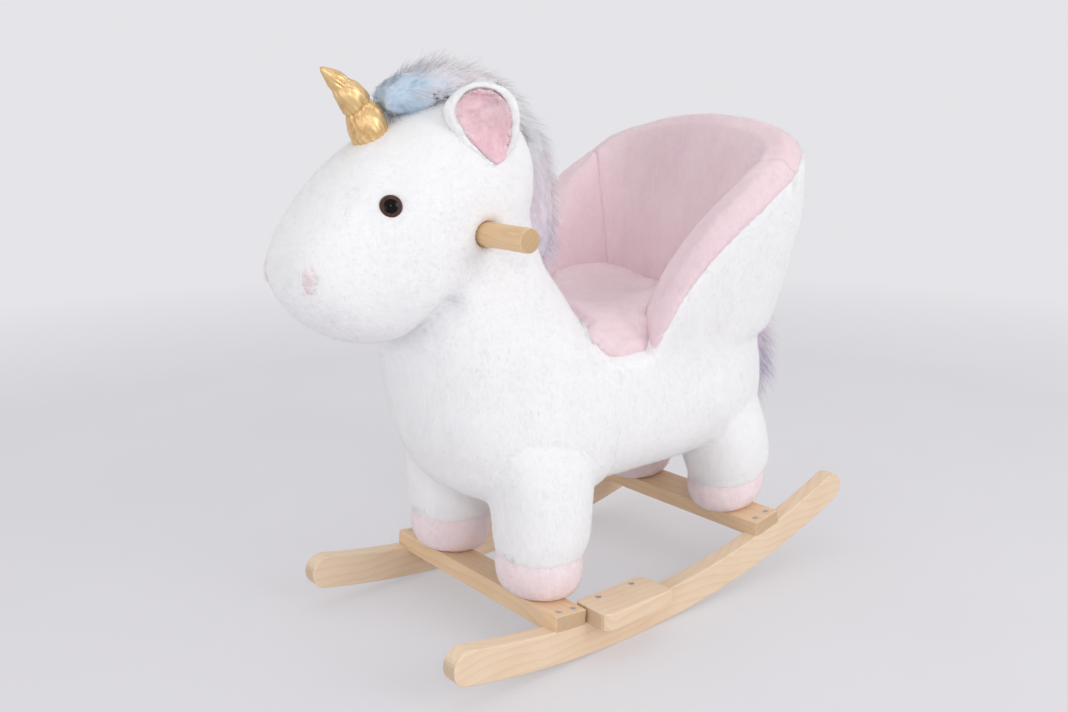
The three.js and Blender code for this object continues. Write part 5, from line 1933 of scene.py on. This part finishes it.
@dataclass
class Base:
    """The pine frame: rockers, slats, footrests, handle and their screws, in millimetres."""

    shop: Workshop
    floor_y: float = -32.0
    radius: float = 1032.0
    depth: float = 38.0
    front_reach: float = 243.0
    rear_reach: float = 382.0
    outer: float = 150.0
    board: float = 20.0
    slat_width: float = 41.6
    slat_thick: float = 21.0
    slat_end: float = 18.0
    let_in: float = 1.4
    slat_gap: float = 0.3
    slat_step: float = 0.4
    slat_screw: float = 10.0
    rest_outer: float = 179.0
    rest_top: float = 58.3
    rest_front: float = -100.3
    rest_rear: float = -1.3
    rest_rounds: Pair = (3.0, 13.0)
    rest_screws: Pair = (139.0, 25.0)
    dowel: Triple = (156.0, 12.0, 1.6)
    screw_profile: Line = (
        (0.2, -34), (1.4, -31), (1.9, -4), (1.9, -2.8), (3.4, -0.35), (3.6, -0.12), (3.45, 0), (1.5, 0.12),
        (0.1, 0.15),
    )
    screw_slot: Triple = (3.6, 0.55, 1.4)
    screw_turn: float = 0.4
    screw_sunk: float = 0.4
    sink_profile: Line = (
        (0.1, -6), (2.4, -6), (2.6, -3), (3.9, -0.3), (4.0, 0.6), (0.1, 0.6),
    )
    tilts: tuple[tuple[str, float, float], ...] = (("front", -91.4, -5.8), ("rear", 229.0, 10.3))

    def make(self) -> None:
        """Builds the whole frame."""
        for name, side in SIDES:
            self.rocker(name, side)
            self.footrest(name, side)
        for end, reach, tilt in self.tilts:
            self.slat(end, reach, math.radians(tilt))
        self.handle()

    def on_arc(self, radius: float, angle: float) -> Pair:
        """A point about the rolling centre, as Y and Z in millimetres."""
        return self.floor_y + radius * math.sin(angle), self.radius - radius * math.cos(angle)

    def rocker(self, name: str, side: int) -> None:
        """One rocker, sawn on two arcs with round noses.

        Args:
            name: The side's name.
            side: 1 for the left, -1 for the right.
        """
        nose = self.depth / 2
        middle = self.radius - nose
        front = -math.asin((self.front_reach - nose) / middle)
        rear = math.asin((self.rear_reach - nose) / middle)
        outline = [self.on_arc(self.radius, a) for a in np.linspace(front, rear, 60)]
        outline += self.nose(middle, rear, nose, 1)
        outline += [self.on_arc(self.radius - self.depth, a) for a in np.linspace(rear, front, 60)]
        outline += self.nose(middle, front, nose, -1)[::-1]
        points = np.array([(y, max(z, 0.0)) for y, z in outline]) * MM
        low, high = sorted((side * (self.outer - self.board) * MM, side * self.outer * MM))
        made = block(name + "_rocker_board", np.array([[(x, y, z) for y, z in points] for x in (low, high)]))
        bevel_edges(made, 1.6 * MM)
        even_shading(made)
        self.shop.dress(made, PINE, "pine", (name + "_rocker",))

    def nose(self, middle: float, angle: float, reach: float, turn: int) -> list[Pair]:
        """The round end of a rocker.

        Args:
            middle: How far the rocker's middle is from the rolling centre.
            angle: Where the end begins.
            reach: The end's radius.
            turn: 1 for the rear end, -1 for the front.

        Returns:
            Its points, as Y and Z in millimetres.
        """
        y, z = self.on_arc(middle, angle)
        swings = [angle - math.pi / 2 + turn * t for t in np.linspace(0, math.pi, 18)[1:-1]]
        return [(y + reach * math.cos(t), z + reach * math.sin(t)) for t in swings]

    def slat_place(self, reach: float) -> Pair:
        """The middle of a slat's top, as Y and Z in millimetres."""
        top = self.radius - math.sqrt((self.radius - self.depth) ** 2 - reach**2)
        return self.floor_y + reach, top - self.let_in + self.slat_end

    def slat(self, end: str, reach: float, tilt: float) -> None:
        """One cross slat, thinner over the rockers, with four screws.

        Args:
            end: The end's name.
            reach: How far from the floor contact the slat is.
            tilt: How far it leans.
        """
        y, z = self.slat_place(reach)
        half = self.slat_width / 2
        rings = []
        inner = self.outer - self.board - self.slat_gap
        step = inner + self.slat_step
        for x in (-self.outer, -step, -inner, inner, step, self.outer):
            low = -self.slat_end if abs(x) > inner else -self.slat_thick
            corners = [(-half, low), (half, low), (half, 0.0), (-half, 0.0)]
            rings.append([
                (x, y + a * math.cos(tilt) - b * math.sin(tilt), z + a * math.sin(tilt) + b * math.cos(tilt))
                for a, b in corners
            ])
        made = block(end + "_slat_board", np.array(rings) * MM)
        bevel_edges(made, 1.3 * MM)
        up = Vector((0, -math.sin(tilt), math.cos(tilt)))
        places = []
        for name, side in SIDES:
            for order, step in (("fore", -1), ("aft", 1)):
                along = step * self.slat_screw
                place = Vector((side * (self.outer - self.slat_screw), y + along * math.cos(tilt),
                                z + along * math.sin(tilt)))
                places.append((f"{end}_slat_screw_{name}_{order}", place * MM, up))
        self.screws(made, places)
        even_shading(made)
        self.shop.dress(made, PINE_ACROSS, "pine", (end + "_slat",))

    def screws(self, board: Piece, places: list[tuple[str, Vector, Vector]]) -> None:
        """Countersinks a board and sets its screws.

        Args:
            board: The board.
            places: Each screw's CAD node, the middle of its hole and the way it faces.
        """
        cutters = []
        for name, place, up in places:
            cutters.append(turned(name + "_cutter", np.array(self.sink_profile) * MM, place, up, 32))
            steel = self.screw(name + "_steel", place - up * self.screw_sunk * MM, up)
            self.shop.dress(steel, STEEL, "steel", (name,))
        cut_out(board, cutters)

    def screw(self, name: str, place: Vector, up: Vector) -> Piece:
        """A wood screw: a flat head with a cross recess, and its shank.

        Args:
            name: The new piece's name.
            place: The top of its head.
            up: The way it faces.

        Returns:
            The screw.
        """
        made = turned(name, np.array(self.screw_profile) * MM, place, up, 32)
        turn = up.to_track_quat("Z", "Y").to_matrix().to_4x4()
        size = Matrix.Diagonal((*(Vector(self.screw_slot) * MM), 1.0))
        for quarter in (0, 1):
            shape = bmesh.new()
            bmesh.ops.create_cube(shape, size=1.0)
            spin = Matrix.Rotation(math.pi / 2 * quarter + self.screw_turn, 4, "Z")
            shape.transform(Matrix.Translation(place) @ turn @ spin @ size)
            cut_out(made, [object_from("bar", shape, closed=False)])
        return made

    def footrest(self, name: str, side: int) -> None:
        """One footrest board on its rocker.

        Args:
            name: The side's name.
            side: 1 for the left, -1 for the right.
        """
        inner, outer, top = self.outer - self.board, self.rest_outer, self.rest_top
        front, rear = self.rest_front, self.rest_rear
        small, large = self.rest_rounds
        outline = round_corners([
            (inner, front, small), (outer, front, large), (outer, rear, small), (inner, rear, large),
        ])
        outline = np.array([(side * x, y) for x, y in outline]) * MM
        levels = ((top - self.board) * MM, top * MM)
        made = block(name + "_footrest_board", np.array([[(x, y, z) for x, y in outline] for z in levels]))
        bevel_edges(made, 1.8 * MM)
        aside, apart = self.rest_screws
        places = [
            (f"footrest_screw_{name}_{order}", Vector((side * aside, (front + rear) / 2 + step * apart, top)) * MM,
             Vector((0, 0, 1)))
            for order, step in (("fore", -1), ("aft", 1))
        ]
        self.screws(made, places)
        even_shading(made)
        self.shop.dress(made, PINE, "pine", (name + "_footrest",))

    def handle(self) -> None:
        """The turned dowel through the head."""
        end, radius, edge = (size * MM for size in self.dowel)
        bend = [(radius - edge + edge * math.sin(t), edge * math.cos(t)) for t in np.linspace(0, math.pi / 2, 5)]
        first = [(0.2 * MM, -end), *[(r, -end + edge - h) for r, h in bend]]
        last = [*[(r, end - edge + h) for r, h in bend[::-1]], (0.2 * MM, end)]
        made = turned("handle_dowel", first + last, Vector((0, *HANDLE_AXIS)), Vector((1, 0, 0)), 64)
        self.shop.dress(made, DOWEL, "pine", ("handle",))


def round_corners(corners: list[Triple], steps: int = 6) -> list[Pair]:
    """Rounds the corners of an outline.

    Args:
        corners: X, Y and radius of each corner.
        steps: How many pieces each round has.

    Returns:
        The outline's points.
    """
    points = []
    for k, (x, y, radius) in enumerate(corners):
        here = Vector((x, y))
        before = (Vector(corners[k - 1][:2]) - here).normalized()
        after = (Vector(corners[(k + 1) % len(corners)][:2]) - here).normalized()
        half = before.angle(after) / 2
        hub = here + (before + after).normalized() * radius / math.sin(half)
        first = here + before * radius / math.tan(half) - hub
        last = here + after * radius / math.tan(half) - hub
        sweep = math.atan2(first.x * last.y - first.y * last.x, first.dot(last))
        for step in range(steps + 1):
            turn = Matrix.Rotation(sweep * step / steps, 2)
            points.append(tuple(hub + turn @ first))
    return points


@dataclass(frozen=True)
class Lamp:
    """One soft round lamp aimed at the toy's middle."""

    name: str
    place: Triple
    size: float
    power: float
    colour: Triple = (1.0, 1.0, 1.0)

    def make(self) -> None:
        """Hangs the lamp."""
        data = bpy.data.lights.new(self.name, "AREA")
        data.shape, data.size, data.energy, data.color = "DISK", self.size, self.power, self.colour
        made = new_object(self.name, data)
        made.location = self.place
        made.rotation_euler = (Vector((0, 0, 0.3)) - Vector(self.place)).to_track_quat("-Z", "Y").to_euler()


@dataclass
class Studio:
    """Camera, lights, floor and backdrop."""

    place: Triple = (0.8989, -0.7964, 0.5825)
    ahead: Triple = (-0.74709, 0.62068, -0.23793)
    up: Triple = (-0.18106, 0.15440, 0.97128)
    lens: float = 35.526
    sensor: float = 36.0
    sight: Pair = (0.01, 60.0)
    floor_radius: float = 9.0
    floor_tone: Colour = tone(226, 224, 228)
    sky_tone: Colour = tone(229, 228, 232)
    sky_light: Colour = tone(250, 250, 251)
    sky_strength: float = 0.74
    fade: Pair = (0.5, 2.4)
    lift: float = 0.4
    lamps: tuple[Lamp, ...] = (
        Lamp("key", (2.3, 0.6, 1.3), 1.3, 15.5, (1.0, 0.995, 0.985)),
        Lamp("front", (0.6, -2.5, 0.4), 1.6, 9.0, (0.99, 0.995, 1.0)),
        Lamp("top", (0.2, 0.1, 2.5), 1.6, 3.0),
        Lamp("spark", (1.42, -1.0, 1.0), 0.22, 2.2),
    )

    def make(self) -> None:
        """Builds the studio."""
        self.camera()
        self.floor()
        self.light()
        bpy.context.scene.view_settings.view_transform = "Standard"

    def camera(self) -> None:
        """The camera at the photograph's viewing angle."""
        data = bpy.data.cameras.new("camera")
        data.lens, data.sensor_width = self.lens, self.sensor
        data.clip_start, data.clip_end = self.sight
        made = new_object("camera", data)
        ahead, up = Vector(self.ahead).normalized(), Vector(self.up).normalized()
        right = ahead.cross(up).normalized()
        turn = Matrix((right, up, -ahead)).transposed()
        made.matrix_world = Matrix.Translation(self.place) @ turn.to_4x4()
        bpy.context.scene.camera = made

    def floor(self) -> None:
        """A wide pale floor that runs out into the backdrop's tone where the camera sees it."""
        shape = bmesh.new()
        bmesh.ops.create_circle(shape, cap_ends=True, segments=96, radius=self.floor_radius)
        made = object_from("floor", shape, closed=False)
        material, graph, shader = start_material("floor_cloth")
        where = graph.where()
        worn = graph.ramp(graph.noise(where, 3.0, 2.0), 0.35, 0.65)
        graph.feed(shader, {
            "Base Color": graph.blend(worn, self.floor_tone, dimmed(self.floor_tone, 0.97)), "Roughness": 0.85,
            "Specular IOR Level": 0.2,
        })
        away = graph.add("VectorMath", {0: where}, operation="LENGTH").outputs["Value"]
        share = graph.maths("MAXIMUM", graph.ramp(away, *self.fade), self.lift)
        share = graph.maths("MULTIPLY", share, self.shown(graph))
        plain = graph.add("Emission", {"Color": self.sky_tone, "Strength": 1.0})
        mixed = graph.add("MixShader", {0: share, 1: shader.outputs[0], 2: plain.outputs[0]})
        out = next(node for node in graph.tree.nodes if node.type == "OUTPUT_MATERIAL")
        graph.feed(out, {0: mixed.outputs[0]})
        made.data.materials.append(material)

    @staticmethod
    def shown(graph: Graph) -> Socket:
        """One for what the camera sees, straight or in something shiny or clear, and zero for light.

        Args:
            graph: The graph that asks.

        Returns:
            The share.
        """
        path = graph.add("LightPath").outputs
        seen = graph.maths("MAXIMUM", path["Is Camera Ray"], path["Is Glossy Ray"])
        return graph.maths("MAXIMUM", seen, path["Is Transmission Ray"])

    def light(self) -> None:
        """A large soft key from the animal's left, a fill from ahead and an even sky."""
        world = bpy.data.worlds.new("sky")
        bpy.context.scene.world = world
        world.use_nodes = True
        world.node_tree.nodes.clear()
        graph = Graph(world.node_tree)
        soft = graph.add("Background", {"Color": self.sky_light, "Strength": self.sky_strength})
        plain = graph.add("Background", {"Color": self.sky_tone, "Strength": 1.0})
        mixed = graph.add("MixShader", {0: self.shown(graph), 1: soft.outputs[0], 2: plain.outputs[0]})
        graph.add("OutputWorld", {0: mixed.outputs[0]})
        for lamp in self.lamps:
            lamp.make()


def dress_hidden(shop: Workshop) -> None:
    """Gives the CAD nodes that stay their finish.

    Args:
        shop: The workshop.
    """
    finishes = {"post": PINE, "board": PLYWOOD, "bolt": STEEL, "screw": STEEL, "washer": WASHER}
    for name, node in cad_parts.items():
        if node.hide_render:
            continue
        kind = next((k for k in finishes if k in name), "post")
        node.data.materials.clear()
        node.data.materials.append(shop.material(finishes[kind]))
        log.info("%s keeps its CAD shape", name)


def main() -> None:
    """Builds every piece around the frame."""
    logging.basicConfig(level=logging.INFO, format="%(message)s")
    Studio().make()
    shop = Workshop()
    Base(shop).make()
    linings = Seat(shop).make()
    feet = Feet(shop).make()
    ears = Face(shop).make()
    Horn(shop).make()
    Hair(shop).make()
    Hide(shop).make(tuple(linings + feet + ears))
    dress_hidden(shop)
    bpy.context.view_layer.update()


if __name__ == "__main__":
    main()
